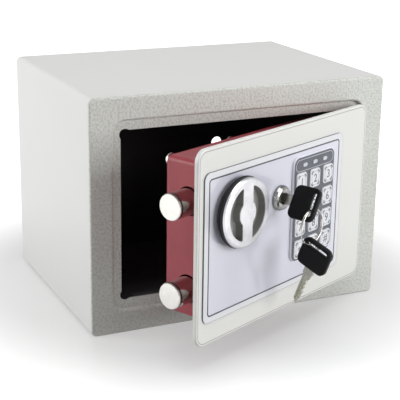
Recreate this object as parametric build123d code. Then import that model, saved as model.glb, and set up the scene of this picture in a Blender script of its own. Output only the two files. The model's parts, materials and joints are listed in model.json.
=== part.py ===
from build123d import *
import os
from math import cos, pi, radians, sin

# An electronic furniture safe of pressed sheet steel, with its door ajar.
# Millimetres. X runs right, Y runs back into the safe, Z runs up.
# The origin is the centre of the cabinet's base.
# Every door piece is drawn with the door shut, then swung about the hinge.

# Cabinet
WIDTH = 230.0
DEPTH = 170.0
HEIGHT = 170.0
SHEET = 2.0
WRAP_R = 4.0
FRONT = -DEPTH / 2
BACK = DEPTH / 2
MID_Z = HEIGHT / 2

# Pressed recess and opening of the front frame
RECESS_W = 196.0
RECESS_H = 136.0
RECESS_R = 9.0
RECESS_DEPTH = 3.4
RIM_R = 1.8
OPENING_W = 183.0
OPENING_H = 122.0
RELIEF_R = 4.2
RELIEF_INSET = 3.2
FLANGE_END = -74.6
FLANGE_CUT = 10.0
FLANGE_CUT_SIDE = 22.0
FRONT_EDGE_R = 1.4

# Anchor holes in the back and in the floor
ANCHOR_R = 5.0
ANCHOR_SPACING = 120.0
FLOOR_ANCHOR_Y = 20.0

# Felt mat
MAT_HALF_W = 108.0
MAT_FRONT = -68.0
MAT_BACK = 80.0
MAT_T = 1.5
MAT_HOLE_R = 11.0

# Hinge
HINGE_X = 104.5
HINGE_Y = -77.0
PIN_R = 2.5
PIN_GAP = 0.08
ARM_T = 3.0
ARM_LOW_Z = 29.0
ARM_HIGH_Z = 138.0
ARM_INNER_R = 15.0
ARM_OUTER_R = 21.0
NECK_X0 = 0.5
NECK_X1 = 5.3
EYE_R = 4.5
BRACKET_T = 3.0
BRACKET_GAP = 0.4
BRACKET_REACH = 4.0
BRACKET_BACK = -64.0
BRACKET_LEG = 18.0
PIN_PROUD = 2.0
DOOR_ANGLE = 25.1

# Door plate
PLATE_X0 = -96.5
PLATE_X1 = 95.2
PLATE_Z0 = 18.9
PLATE_Z1 = 151.1
PLATE_R = 8.0
PLATE_T = 3.0
PLATE_BACK = FRONT + PLATE_T
PLATE_EDGE_R = 0.9
SHAFT_HOLE_R = 6.0
WIRE_X0 = 18.0
WIRE_X1 = 34.0
WIRE_Z0 = 80.0
WIRE_Z1 = 88.0

# Raspberry housing behind the plate
HOUSING_X0 = -80.8
HOUSING_X1 = 82.0
HOUSING_Z0 = 31.2
HOUSING_Z1 = 138.8
HOUSING_BACK = -45.7
HOUSING_T = 1.5
HOUSING_R = 3.5
HOUSING_EDGE_R = 1.4
BOLT_CLEARANCE = 0.8

# Mechanism cover and its screws
MECHANISM_HOLE = (-70.0, -18.0, 44.0, 126.0)
COVER_PLAN = (-79.4, -9.0, 32.6, 137.4)
COVER_T = 1.5
COVER_R = 2.5
COVER_SCREW_X = (-75.0, -13.5)
COVER_SCREW_Z = (35.4, 134.6)
SCREW_R = 1.6
SCREW_LENGTH = 6.0
SCREW_HEAD_R = 4.3
SCREW_HEAD_H = 3.2
CROSS_HALF = 2.6
CROSS_HALF_T = 0.45

# Battery tray, cells and cover
BATTERY_HOLE = (10.0, 68.0, 62.0, 110.0)
TRAY_X0 = 6.0
TRAY_X1 = 72.0
TRAY_Z0 = 56.0
TRAY_Z1 = 116.0
TRAY_FRONT = -63.6
TRAY_WALL = 1.2
CELL_R = 7.1
CELL_Z0 = 62.0
CELL_Z1 = 110.0
CELL_FIRST_X = 16.2
CELL_PITCH = 15.2
NUB_R = 2.6
NUB_H = 1.4
CONTACT_HALF = 4.0
LID_PLAN = (5.5, 71.5, 58.0, 114.0)
LID_T = 2.0

# Control board behind the plate
BOARD_FRONT = -72.0
BOARD_BACK = -70.4
BOARD_X0 = 4.0
BOARD_X1 = 70.0
BOARD_Z0 = 48.0
BOARD_Z1 = 124.0
POST_INSET = 4.0
POST_R = 3.0
POST_PEG_R = 1.5

# Fascia and keypad
FASCIA_X0 = -91.0
FASCIA_X1 = 63.0
FASCIA_Z0 = 34.4
FASCIA_Z1 = 135.6
FASCIA_T = 1.0
FASCIA_FRONT = FRONT - FASCIA_T
BEZEL_X0 = 1.5
BEZEL_X1 = 50.5
BEZEL_Z0 = 52.4
BEZEL_Z1 = 127.6
BEZEL_T = 2.0
BEZEL_FRONT = FASCIA_FRONT - BEZEL_T
KEY_W = 12.0
KEY_H = 13.4
KEY_R = 2.4
KEY_PITCH_X = 16.0
KEY_PITCH_Z = 16.2
KEY_TOP_Z = 109.6
KEY_PROUD = 1.0
KEY_THICK = 2.0
KEY_GAP = 0.3
KEY_BEVEL = 0.45
KEY_NAMES = ["1", "2", "3", "4", "5", "6", "7", "8", "9", "star", "0", "hash"]
LENS_Z = 121.4
LENS_PITCH = 12.0
LENS_W = 5.0
LENS_H = 2.6
LENS_PROUD = 0.4

# Knob and bolt work
KNOB_X = -58.0
KNOB_Z = 104.5
KNOB_R = 24.0
KNOB_FRONT = -95.0
KNOB_SPLIT = -90.6
KNOB_REAR = -86.35
CRESCENT_OUTER_R = 18.6
CRESCENT_DEPTH = 7.4
CRESCENT_CORNER_R = 0.8
GRIP_BOSS_R = 8.3
GRIP_HALF = 5.0
SHAFT_R = 4.0
SHAFT_FRONT = KNOB_FRONT + 2.4
BUSHING_R = 8.5
BUSHING_T = 1.4
CRANK_R = 18.0 / (2 * sin(pi / 4))
CRANK_PIN_R = 2.5
CRANK_FRONT = -80.0
CRANK_BACK = -77.5
CRANK_PIN_END = -74.0
CRANK_HUB_R = 7.0
CRANK_EYE_R = 4.2
CRANK_W = 9.0
BOLT_R = 9.0
BOLT_Y = -64.0
BOLT_UP_Z = 111.5
BOLT_LOW_Z = 51.3
BOLT_TIP = -99.0
BOLT_REAR = -50.0
BOLT_TRAVEL = 18.0
BOLT_EDGE = 0.5
GROOVE_FROM = 2.0
GROOVE_TO = 2.7
GROOVE_DEPTH = 0.45
BAR_FRONT = -76.5
BAR_T = 2.0
BAR_X0 = -74.0
BAR_Z0 = 42.0
BAR_Z1 = 121.5
BAR_EAR_H = 20.5
BAR_EAR_BACK = -51.5
SLOT_HALF = 3.2
GUIDE_X = -64.0
GUIDE_T = 1.5
GUIDE_Y0 = -73.7
GUIDE_Y1 = -48.1
GUIDE_Z0 = 37.4
GUIDE_Z1 = 125.4

# Key lock
LOCK_X = -11.5
LOCK_Z = 103.0
LOCK_FRONT = -90.0
BARREL_R = 6.0
PLUG_R = 4.2
PLUG_GAP = 0.06
PLUG_REAR = -60.0
KEY_TURN = 30.0

# Keys and split ring
BOW_W = 23.5
BOW_L = 20.5
BOW_T = 4.0
BOW_R = 4.6
BOW_BEVEL = 0.7
TANG_L = 8.0
BOW_NEAR = -96.4
SLOT_W = 2.9
SLOT_L = 17.0
SLOT_V = 16.3
BLADE_W = 7.4
BLADE_T = 1.9
BLADE_L = 28.4
RING_R = 12.0
RING_WIRE = 1.0
RING_U = -3.6
RING_PASS = 100.0
SPARE_TILT = 20.8
SPARE_U = -6.3

# Solenoid
SOL_X = -43.0
SOL_Y = -54.5
SOL_Z0 = 74.0
SOL_Z1 = 96.0
YOKE_HALF_W = 8.0
YOKE_HALF_D = 7.0
YOKE_T = 2.0
COIL_R = 5.2
PLUNGER_R = 2.5
PLUNGER_TIP = 63.6
COLLAR_R = 4.2
COLLAR_RISE = 2.4
COLLAR_T = 1.2
SPRING_TURNS = 5
SPRING_R = 3.3
SPRING_WIRE_R = 0.3

# Reset button
RESET_X = 75.5
RESET_Z = 112.0
RESET_R = 3.1
RESET_HOLE_R = 3.5
RESET_PROUD = 1.8

PARTS = {}


def slab(outline, front, back):
    """A flat sketch drawn in X and Z, made solid from front to back."""
    return extrude(Plane.XZ.offset(-back) * outline, back - front)


def tile(x0, x1, z0, z1, radius=0.0):
    """A rectangle between two corners in X and Z."""
    width = x1 - x0
    height = z1 - z0
    shape = RectangleRounded(width, height, radius) if radius else Rectangle(width, height)
    return Pos((x0 + x1) / 2, (z0 + z1) / 2) * shape


def spot(x, z, radius):
    """A circle at a point in X and Z."""
    return Pos(x, z) * Circle(radius)


def block(x0, x1, y0, y1, z0, z1):
    """A box between two corners."""
    return Pos((x0 + x1) / 2, (y0 + y1) / 2, (z0 + z1) / 2) * Box(x1 - x0, y1 - y0, z1 - z0)


def rod_x(x0, x1, y, z, radius):
    """A round bar along X."""
    return Pos((x0 + x1) / 2, y, z) * Rot(0, 90, 0) * Cylinder(radius, x1 - x0)


def rod_y(y0, y1, x, z, radius):
    """A round bar along Y."""
    return Pos(x, (y0 + y1) / 2, z) * Rot(90, 0, 0) * Cylinder(radius, y1 - y0)


def rod_z(z0, z1, x, y, radius):
    """A round bar along Z."""
    return Pos(x, y, (z0 + z1) / 2) * Cylinder(radius, z1 - z0)


def turned_y(points, x, z):
    """A profile of radius and Y, turned about a line along Y."""
    profile = make_face(Polyline(*points, close=True))
    return Pos(x, 0, z) * revolve(profile, Axis.Y)


def turned_x(points, y, z):
    """A profile of X and radius, turned about a line along X."""
    profile = make_face(Polyline(*points, close=True))
    return Pos(0, y, z) * revolve(profile, Axis.X)


def round_edges(shape, test, radius):
    """Rounds each edge whose centre passes the test."""
    edges = shape.edges().filter_by(lambda edge: test(edge.center()))
    return fillet(edges, radius)


def bevel_edges(shape, test, size):
    """Bevels each edge whose centre passes the test."""
    edges = shape.edges().filter_by(lambda edge: test(edge.center()))
    return chamfer(edges, size)


def swing(shape):
    """Swings a piece of the shut door to the angle at which it stands ajar."""
    return Pos(HINGE_X, HINGE_Y, 0) * Rot(0, 0, DOOR_ANGLE) * Pos(-HINGE_X, -HINGE_Y, 0) * shape


def keep(name, shape):
    """Holds a finished cabinet piece for export."""
    PARTS[name] = shape


def keep_on_door(name, shape):
    """Holds a finished door piece for export, swung ajar."""
    PARTS[name] = swing(shape)


def cabinet_shell():
    """The folded wrap of top, sides and floor, with two anchor holes in the floor."""
    outer = tile(-WIDTH / 2, WIDTH / 2, 0, HEIGHT, WRAP_R)
    inner = tile(-WIDTH / 2 + SHEET, WIDTH / 2 - SHEET, SHEET, HEIGHT - SHEET, WRAP_R - SHEET)
    shell = slab(outer - inner, FRONT + SHEET, BACK)
    for x in (-ANCHOR_SPACING / 2, ANCHOR_SPACING / 2):
        shell -= rod_z(-1, SHEET + 1, x, FLOOR_ANCHOR_Y, ANCHOR_R)
    keep("cabinet_shell", shell)


def front_frame():
    """The pressed front: border, recess for the plate, opening and return flanges."""
    step_back = FRONT + RECESS_DEPTH + SHEET
    ledge = FRONT + RECESS_DEPTH
    half_w = RECESS_W / 2
    half_h = RECESS_H / 2
    open_w = OPENING_W / 2
    open_h = OPENING_H / 2
    outer = tile(-WIDTH / 2, WIDTH / 2, 0, HEIGHT, WRAP_R)
    frame = slab(outer, FRONT, FRONT + SHEET)
    frame = round_edges(frame, lambda c: abs(c.Y - FRONT) < 0.01, FRONT_EDGE_R)
    frame += slab(
        tile(-half_w - SHEET, half_w + SHEET, MID_Z - half_h - SHEET, MID_Z + half_h + SHEET, RECESS_R + SHEET),
        FRONT + SHEET, step_back)
    frame -= slab(tile(-half_w, half_w, MID_Z - half_h, MID_Z + half_h, RECESS_R), FRONT - 1, ledge)
    hole = tile(-open_w, open_w, MID_Z - open_h, MID_Z + open_h)
    for sx in (-1, 1):
        for sz in (-1, 1):
            hole += spot(sx * (open_w - RELIEF_INSET), MID_Z + sz * (open_h - RELIEF_INSET), RELIEF_R)
    frame -= slab(hole, ledge - 1, step_back + 1)
    frame = round_edges(
        frame,
        lambda c: abs(c.Y - FRONT) < 0.01 and abs(c.X) < half_w + 0.01 and abs(c.Z - MID_Z) < half_h + 0.01,
        RIM_R)
    low = MID_Z - open_h
    high = MID_Z + open_h
    frame += block(-open_w - SHEET, -open_w, ledge, FLANGE_END, low + FLANGE_CUT, high - FLANGE_CUT)
    frame += block(open_w, open_w + SHEET, ledge, FLANGE_END, low + FLANGE_CUT_SIDE, high - FLANGE_CUT_SIDE)
    frame += block(-open_w + FLANGE_CUT, open_w - FLANGE_CUT, ledge, FLANGE_END, low - SHEET, low)
    frame += block(-open_w + FLANGE_CUT, open_w - FLANGE_CUT, ledge, FLANGE_END, high, high + SHEET)
    keep("front_frame", frame)


def back_panel():
    """The rear sheet with its two wall anchor holes."""
    sheet = tile(-WIDTH / 2 + SHEET, WIDTH / 2 - SHEET, SHEET, HEIGHT - SHEET, WRAP_R - SHEET)
    for x in (-ANCHOR_SPACING / 2, ANCHOR_SPACING / 2):
        sheet -= spot(x, MID_Z, ANCHOR_R)
    keep("back_panel", slab(sheet, BACK - SHEET, BACK))


def floor_mat():
    """The felt mat on the floor, cut out over the anchor holes."""
    mat = block(-MAT_HALF_W, MAT_HALF_W, MAT_FRONT, MAT_BACK, SHEET, SHEET + MAT_T)
    for x in (-ANCHOR_SPACING / 2, ANCHOR_SPACING / 2):
        mat -= rod_z(0, SHEET + MAT_T + 1, x, FLOOR_ANCHOR_Y, MAT_HOLE_R)
    keep("floor_mat", mat)


def hinge_bracket(name, tab_low, tab_high, leg_low, leg_high):
    """A welded angle that carries one hinge pin behind the frame's border."""
    wall = WIDTH / 2 - SHEET
    bracket = block(HINGE_X - BRACKET_REACH, wall, FRONT + SHEET, BRACKET_BACK, tab_low, tab_high)
    bracket += block(wall - BRACKET_T, wall, FRONT + SHEET, BRACKET_BACK, leg_low, leg_high)
    bracket -= rod_z(tab_low - 1, tab_high + 1, HINGE_X, HINGE_Y, PIN_R)
    keep(name, bracket)


def hinge_fixed_side():
    """Both brackets and the two pins pressed into them."""
    low_top = ARM_LOW_Z - BRACKET_GAP
    high_base = ARM_HIGH_Z + ARM_T + BRACKET_GAP
    hinge_bracket("lower_hinge_bracket", low_top - BRACKET_T, low_top, low_top - BRACKET_LEG, low_top)
    hinge_bracket("upper_hinge_bracket", high_base, high_base + BRACKET_T, high_base, high_base + BRACKET_LEG)
    low_pin = rod_z(low_top - BRACKET_T, ARM_LOW_Z + ARM_T + PIN_PROUD, HINGE_X, HINGE_Y, PIN_R)
    high_pin = rod_z(ARM_HIGH_Z - PIN_PROUD, high_base + BRACKET_T, HINGE_X, HINGE_Y, PIN_R)
    keep("hinge_pins", Compound([low_pin, high_pin]))


def hinge_arm(name, base):
    """A hooked arm that reaches from the plate round the frame's lip to the pin."""
    centre = Pos(HINGE_X, HINGE_Y)
    mid_r = (ARM_INNER_R + ARM_OUTER_R) / 2
    ring = Circle(ARM_OUTER_R) - Circle(ARM_INNER_R)
    web = ring & (Pos(-ARM_OUTER_R / 2, ARM_OUTER_R / 2) * Rectangle(ARM_OUTER_R, ARM_OUTER_R))
    foot_reach = PLATE_BACK - HINGE_Y
    foot = Pos(-mid_r, foot_reach / 2) * Rectangle(ARM_OUTER_R - ARM_INNER_R, -foot_reach)
    reach = mid_r + ARM_T
    neck = Pos((NECK_X0 + NECK_X1) / 2, reach / 2) * Rectangle(NECK_X1 - NECK_X0, reach)
    bridge = Pos(NECK_X1 / 2, mid_r) * Rectangle(NECK_X1, ARM_OUTER_R - ARM_INNER_R)
    outline = centre * (web + foot + neck + bridge + Circle(EYE_R))
    outline -= centre * Circle(PIN_R + PIN_GAP)
    keep_on_door(name, extrude(Plane.XY.offset(base) * outline, ARM_T))


def door_plate():
    """The flush front plate of the door, pierced for knob, lock and keypad wires."""
    outline = tile(PLATE_X0, PLATE_X1, PLATE_Z0, PLATE_Z1, PLATE_R)
    plate = slab(outline, FRONT, PLATE_BACK)
    plate = round_edges(plate, lambda c: abs(c.Y - FRONT) < 0.01, PLATE_EDGE_R)
    plate -= rod_y(FRONT - 1, PLATE_BACK + 1, KNOB_X, KNOB_Z, SHAFT_HOLE_R)
    plate -= rod_y(FRONT - 1, PLATE_BACK + 1, LOCK_X, LOCK_Z, BARREL_R)
    plate -= block(WIRE_X0, WIRE_X1, FRONT - 1, PLATE_BACK + 1, WIRE_Z0, WIRE_Z1)
    keep_on_door("door_plate", plate)


def lock_housing():
    """The raspberry box on the back of the plate, with bolt holes in its free side."""
    outer = tile(HOUSING_X0, HOUSING_X1, HOUSING_Z0, HOUSING_Z1, HOUSING_R)
    inner = tile(
        HOUSING_X0 + HOUSING_T, HOUSING_X1 - HOUSING_T,
        HOUSING_Z0 + HOUSING_T, HOUSING_Z1 - HOUSING_T, HOUSING_R - HOUSING_T)
    box = slab(outer, PLATE_BACK, HOUSING_BACK)
    box = round_edges(box, lambda c: abs(c.Y - HOUSING_BACK) < 0.01, HOUSING_EDGE_R)
    box -= slab(inner, PLATE_BACK - 1, HOUSING_BACK - HOUSING_T)
    for z in (BOLT_UP_Z, BOLT_LOW_Z):
        box -= rod_x(HOUSING_X0 - 1, HOUSING_X0 + 3, BOLT_Y, z, BOLT_R + BOLT_CLEARANCE)
    box -= slab(tile(*MECHANISM_HOLE, COVER_R), HOUSING_BACK - 3, HOUSING_BACK + 1)
    box -= slab(tile(*BATTERY_HOLE, COVER_R), HOUSING_BACK - 3, HOUSING_BACK + 1)
    for x, z in cover_screw_places():
        box -= rod_y(HOUSING_BACK - 3, HOUSING_BACK + 1, x, z, SCREW_R)
    box -= rod_y(HOUSING_BACK - 3, HOUSING_BACK + 1, RESET_X, RESET_Z, RESET_HOLE_R)
    keep_on_door("lock_housing", box)


def cover_screw_places():
    """Centres of the four screws that hold the mechanism cover."""
    return [(x, z) for x in COVER_SCREW_X for z in COVER_SCREW_Z]


def mechanism_cover():
    """The sheet that closes the bolt work, held by four screws."""
    cover = slab(tile(*COVER_PLAN, COVER_R), HOUSING_BACK, HOUSING_BACK + COVER_T)
    for x, z in cover_screw_places():
        cover -= rod_y(HOUSING_BACK - 1, HOUSING_BACK + 3, x, z, SCREW_R)
    keep_on_door("mechanism_cover", cover)


def cover_screws():
    """Four domed screws through the cover into the housing."""
    top = HOUSING_BACK + COVER_T
    cross_floor = top + 0.6 * SCREW_HEAD_H
    points = [
        (0, top - SCREW_LENGTH), (SCREW_R, top - SCREW_LENGTH), (SCREW_R, top), (SCREW_HEAD_R, top),
        (0.96 * SCREW_HEAD_R, top + 0.4 * SCREW_HEAD_H), (0.7 * SCREW_HEAD_R, top + 0.8 * SCREW_HEAD_H),
        (0.3 * SCREW_HEAD_R, top + SCREW_HEAD_H), (0, top + SCREW_HEAD_H)]
    screws = []
    for x, z in cover_screw_places():
        screw = turned_y(points, x, z)
        for half_x, half_z in ((CROSS_HALF, CROSS_HALF_T), (CROSS_HALF_T, CROSS_HALF)):
            screw -= block(x - half_x, x + half_x, cross_floor, top + SCREW_HEAD_H + 1, z - half_z, z + half_z)
        screws.append(swing(screw))
    keep("cover_screws", Compound(screws))


def battery_pack():
    """The tray, four cells, their contacts and the clip-on cover."""
    rim = HOUSING_BACK - HOUSING_T
    inner_low = TRAY_Z0 + TRAY_WALL
    inner_high = TRAY_Z1 - TRAY_WALL
    tray = block(TRAY_X0, TRAY_X1, TRAY_FRONT, rim, TRAY_Z0, TRAY_Z1)
    tray -= block(TRAY_X0 + TRAY_WALL, TRAY_X1 - TRAY_WALL, TRAY_FRONT + TRAY_WALL, rim + 1, inner_low, inner_high)
    keep_on_door("battery_tray", tray)
    cells = []
    contacts = []
    cell_y = TRAY_FRONT + TRAY_WALL + CELL_R + 0.2
    near = cell_y - CONTACT_HALF
    far = cell_y + CONTACT_HALF
    for index in range(4):
        x = CELL_FIRST_X + CELL_PITCH * index
        low = CELL_Z0
        high = CELL_Z1
        if index % 2 == 0:
            high += NUB_H
        else:
            low -= NUB_H
        cells.append(swing(rod_z(CELL_Z0, CELL_Z1, x, cell_y, CELL_R) + rod_z(low, high, x, cell_y, NUB_R)))
        contacts.append(swing(block(x - CONTACT_HALF, x + CONTACT_HALF, near, far, high, inner_high)))
        contacts.append(swing(block(x - CONTACT_HALF, x + CONTACT_HALF, near, far, inner_low, low)))
    keep("batteries", Compound(cells))
    keep("battery_contacts", Compound(contacts))
    face = HOUSING_BACK + LID_T
    lid = slab(tile(*LID_PLAN, 3.0), HOUSING_BACK, face)
    lid = round_edges(lid, lambda c: abs(c.Y - face) < 0.01, 1.0)
    grip_z = LID_PLAN[3] - 10.0
    grip_x = (LID_PLAN[0] + LID_PLAN[1]) / 2
    for index in range(3):
        base = grip_z + 3.0 * index
        lid -= block(grip_x - 8.5, grip_x + 8.5, face - 0.7, face + 1, base, base + 1.4)
    keep_on_door("battery_cover", lid)


def fascia():
    """The glossy overlay on the plate, open for knob, lock and keypad board."""
    sheet = tile(FASCIA_X0, FASCIA_X1, FASCIA_Z0, FASCIA_Z1, 5.0)
    sheet -= spot(KNOB_X, KNOB_Z, SHAFT_HOLE_R)
    sheet -= spot(LOCK_X, LOCK_Z, BARREL_R)
    sheet -= tile(BEZEL_X0 + 1.7, BEZEL_X1 - 1.7, BEZEL_Z0 + 1.7, BEZEL_Z1 - 1.7, 3.0)
    keep_on_door("fascia", slab(sheet, FASCIA_FRONT, FRONT))


def key_places():
    """Name and centre of each of the twelve keys, row by row."""
    middle = (BEZEL_X0 + BEZEL_X1) / 2
    places = []
    for index, name in enumerate(KEY_NAMES):
        x = middle + (index % 3 - 1) * KEY_PITCH_X
        z = KEY_TOP_Z - (index // 3) * KEY_PITCH_Z
        places.append((name, x, z))
    return places


def lens_places():
    """X of each of the three indicator lenses."""
    middle = (BEZEL_X0 + BEZEL_X1) / 2
    return [middle + step * LENS_PITCH for step in (-1, 0, 1)]


def keypad():
    """The slate surround, the switch board under it, the lenses and the keys."""
    panel = slab(tile(BEZEL_X0, BEZEL_X1, BEZEL_Z0, BEZEL_Z1, 6.0), BEZEL_FRONT, FASCIA_FRONT)
    panel = bevel_edges(panel, lambda c: abs(c.Y - BEZEL_FRONT) < 0.01, 0.6)
    for name, x, z in key_places():
        well = Pos(x, z) * RectangleRounded(KEY_W + 2 * KEY_GAP, KEY_H + 2 * KEY_GAP, KEY_R + KEY_GAP)
        panel -= slab(well, BEZEL_FRONT - 1, FASCIA_FRONT + 1)
    lenses = []
    for x in lens_places():
        lens = Pos(x, LENS_Z) * SlotOverall(LENS_W, LENS_H)
        panel -= slab(lens, BEZEL_FRONT - 1, FASCIA_FRONT + 1)
        lenses.append(swing(slab(lens, BEZEL_FRONT - LENS_PROUD, FASCIA_FRONT)))
    keep_on_door("keypad_bezel", panel)
    keep("indicator_lenses", Compound(lenses))
    board = slab(tile(BEZEL_X0 + 2.2, BEZEL_X1 - 2.2, BEZEL_Z0 + 2.2, BEZEL_Z1 - 2.2, 2.5), FASCIA_FRONT, FRONT)
    keep_on_door("keypad_board", board)
    for name, x, z in key_places():
        front = BEZEL_FRONT - KEY_PROUD
        cap = slab(Pos(x, z) * RectangleRounded(KEY_W, KEY_H, KEY_R), front, front + KEY_THICK)
        cap = bevel_edges(cap, lambda c: abs(c.Y - front) < 0.01, KEY_BEVEL)
        keep_on_door("key_" + name, cap)


def control_electronics():
    """The control board with its parts, on four posts behind the plate."""
    post_x = (BOARD_X0 + POST_INSET, BOARD_X1 - POST_INSET)
    post_z = (BOARD_Z0 + POST_INSET, BOARD_Z1 - POST_INSET)
    corners = [(x, z) for x in post_x for z in post_z]
    board = block(BOARD_X0, BOARD_X1, BOARD_FRONT, BOARD_BACK, BOARD_Z0, BOARD_Z1)
    for x, z in corners:
        board -= rod_y(BOARD_FRONT - 1, BOARD_BACK + 1, x, z, POST_PEG_R + 0.1)
    chips = ((14, 30, 92, 108, 2.2), (38, 62, 96, 104, 1.8))
    for x0, x1, z0, z1, rise in chips:
        board += block(x0, x1, BOARD_BACK, BOARD_BACK + rise, z0, z1)
    cans = ((54, 66, 6.0), (20, 70, 4.0), (32, 70, 3.2))
    for x, z, radius in cans:
        board += rod_y(BOARD_BACK, BOARD_BACK + 5.4, x, z, radius)
    board += block(WIRE_X0 - 2, WIRE_X1 + 2, BOARD_FRONT - 5, BOARD_FRONT, WIRE_Z0 - 1, WIRE_Z1 + 1)
    keep_on_door("control_board", board)
    posts = []
    for x, z in corners:
        post = rod_y(PLATE_BACK, BOARD_FRONT, x, z, POST_R)
        post += rod_y(BOARD_FRONT, BOARD_BACK + 0.6, x, z, POST_PEG_R)
        posts.append(swing(post))
    keep("board_posts", Compound(posts))


def solenoid():
    """The blocking solenoid: steel yoke and coil, sprung plunger and its spring."""
    rear = HOUSING_BACK - HOUSING_T
    yoke = block(SOL_X - YOKE_HALF_W, SOL_X + YOKE_HALF_W, SOL_Y - YOKE_HALF_D, rear, SOL_Z0, SOL_Z1)
    yoke -= block(
        SOL_X - YOKE_HALF_W - 1, SOL_X + YOKE_HALF_W + 1, SOL_Y - YOKE_HALF_D - 1, rear - 1.5,
        SOL_Z0 + YOKE_T, SOL_Z1 - YOKE_T)
    yoke += rod_z(SOL_Z0 + YOKE_T / 2, SOL_Z1 - YOKE_T / 2, SOL_X, SOL_Y, COIL_R)
    yoke -= rod_z(SOL_Z0 - 1, SOL_Z1 - 4, SOL_X, SOL_Y, PLUNGER_R + 0.3)
    keep_on_door("solenoid", yoke)
    plunger = rod_z(PLUNGER_TIP, SOL_Z1 - 7, SOL_X, SOL_Y, PLUNGER_R)
    collar_z = PLUNGER_TIP + COLLAR_RISE
    plunger += rod_z(collar_z, collar_z + COLLAR_T, SOL_X, SOL_Y, COLLAR_R)
    keep_on_door("solenoid_plunger", plunger)
    base = collar_z + COLLAR_T
    height = SOL_Z0 - base - 4 * SPRING_WIRE_R
    path = Helix(height / SPRING_TURNS, height, SPRING_R)
    start = Plane(origin=path @ 0, z_dir=path % 0)
    wire = sweep(start * RegularPolygon(SPRING_WIRE_R, 6), path=path, is_frenet=True)
    keep_on_door("plunger_spring", Pos(SOL_X, SOL_Y, base + 0.5) * wire)


def bolt_work():
    """The bar with its two bolts, and the bracket that guides them."""
    back = BAR_FRONT + BAR_T
    slot_x = KNOB_X - BOLT_TRAVEL / 2
    bar = tile(BAR_X0, BOLT_REAR + BAR_T, BAR_Z0, BAR_Z1, 2.0)
    slot_low = KNOB_Z + CRANK_R * cos(pi / 4) - CRANK_PIN_R - 1.2
    slot_high = KNOB_Z + CRANK_R + CRANK_PIN_R + 0.6
    bar -= tile(slot_x - SLOT_HALF, slot_x + SLOT_HALF, slot_low, slot_high)
    bar -= tile(BAR_X0 - 1, BAR_X0 + 8, 64, 98, 3.0)
    solid = slab(bar, BAR_FRONT, back)
    for low, high in ((BAR_Z0, BAR_Z0 + BAR_EAR_H), (BAR_Z1 - BAR_EAR_H, BAR_Z1)):
        solid += block(BOLT_REAR, BOLT_REAR + BAR_T, BAR_FRONT, BAR_EAR_BACK, low, high)
    keep_on_door("bolt_bar", solid)
    slim = BOLT_R - GROOVE_DEPTH
    profile = [
        (BOLT_TIP, 0), (BOLT_TIP, BOLT_R - BOLT_EDGE), (BOLT_TIP + BOLT_EDGE, BOLT_R),
        (BOLT_TIP + GROOVE_FROM, BOLT_R), (BOLT_TIP + GROOVE_FROM, slim), (BOLT_TIP + GROOVE_TO, slim),
        (BOLT_TIP + GROOVE_TO, BOLT_R), (BOLT_REAR, BOLT_R), (BOLT_REAR, 0)]
    for name, z in (("upper_bolt", BOLT_UP_Z), ("lower_bolt", BOLT_LOW_Z)):
        keep_on_door(name, turned_x(profile, BOLT_Y, z))
    wall = HOUSING_X0 + HOUSING_T
    face = Pos((GUIDE_Y0 + GUIDE_Y1) / 2, (GUIDE_Z0 + GUIDE_Z1) / 2) * Rectangle(
        GUIDE_Y1 - GUIDE_Y0, GUIDE_Z1 - GUIDE_Z0)
    for z in (BOLT_UP_Z, BOLT_LOW_Z):
        face -= Pos(BOLT_Y, z) * Circle(BOLT_R + 0.1)
    guide = extrude(Plane.YZ.offset(GUIDE_X) * face, GUIDE_T)
    for low in (GUIDE_Z0, GUIDE_Z1 - GUIDE_T):
        guide += block(wall, GUIDE_X + GUIDE_T, GUIDE_Y0, GUIDE_Y1, low, low + GUIDE_T)
    keep_on_door("bolt_guide", guide)


def crescent(side):
    """One finger recess: between the rim circle and the grip bar with its round boss."""
    span = 3 * CRESCENT_OUTER_R
    inside = Circle(CRESCENT_OUTER_R) - Pos(-side * span / 2, 0) * Rectangle(span, span)
    outline = inside - Circle(GRIP_BOSS_R) - Rectangle(2 * GRIP_HALF, span)
    return fillet(outline.vertices(), CRESCENT_CORNER_R)


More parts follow.
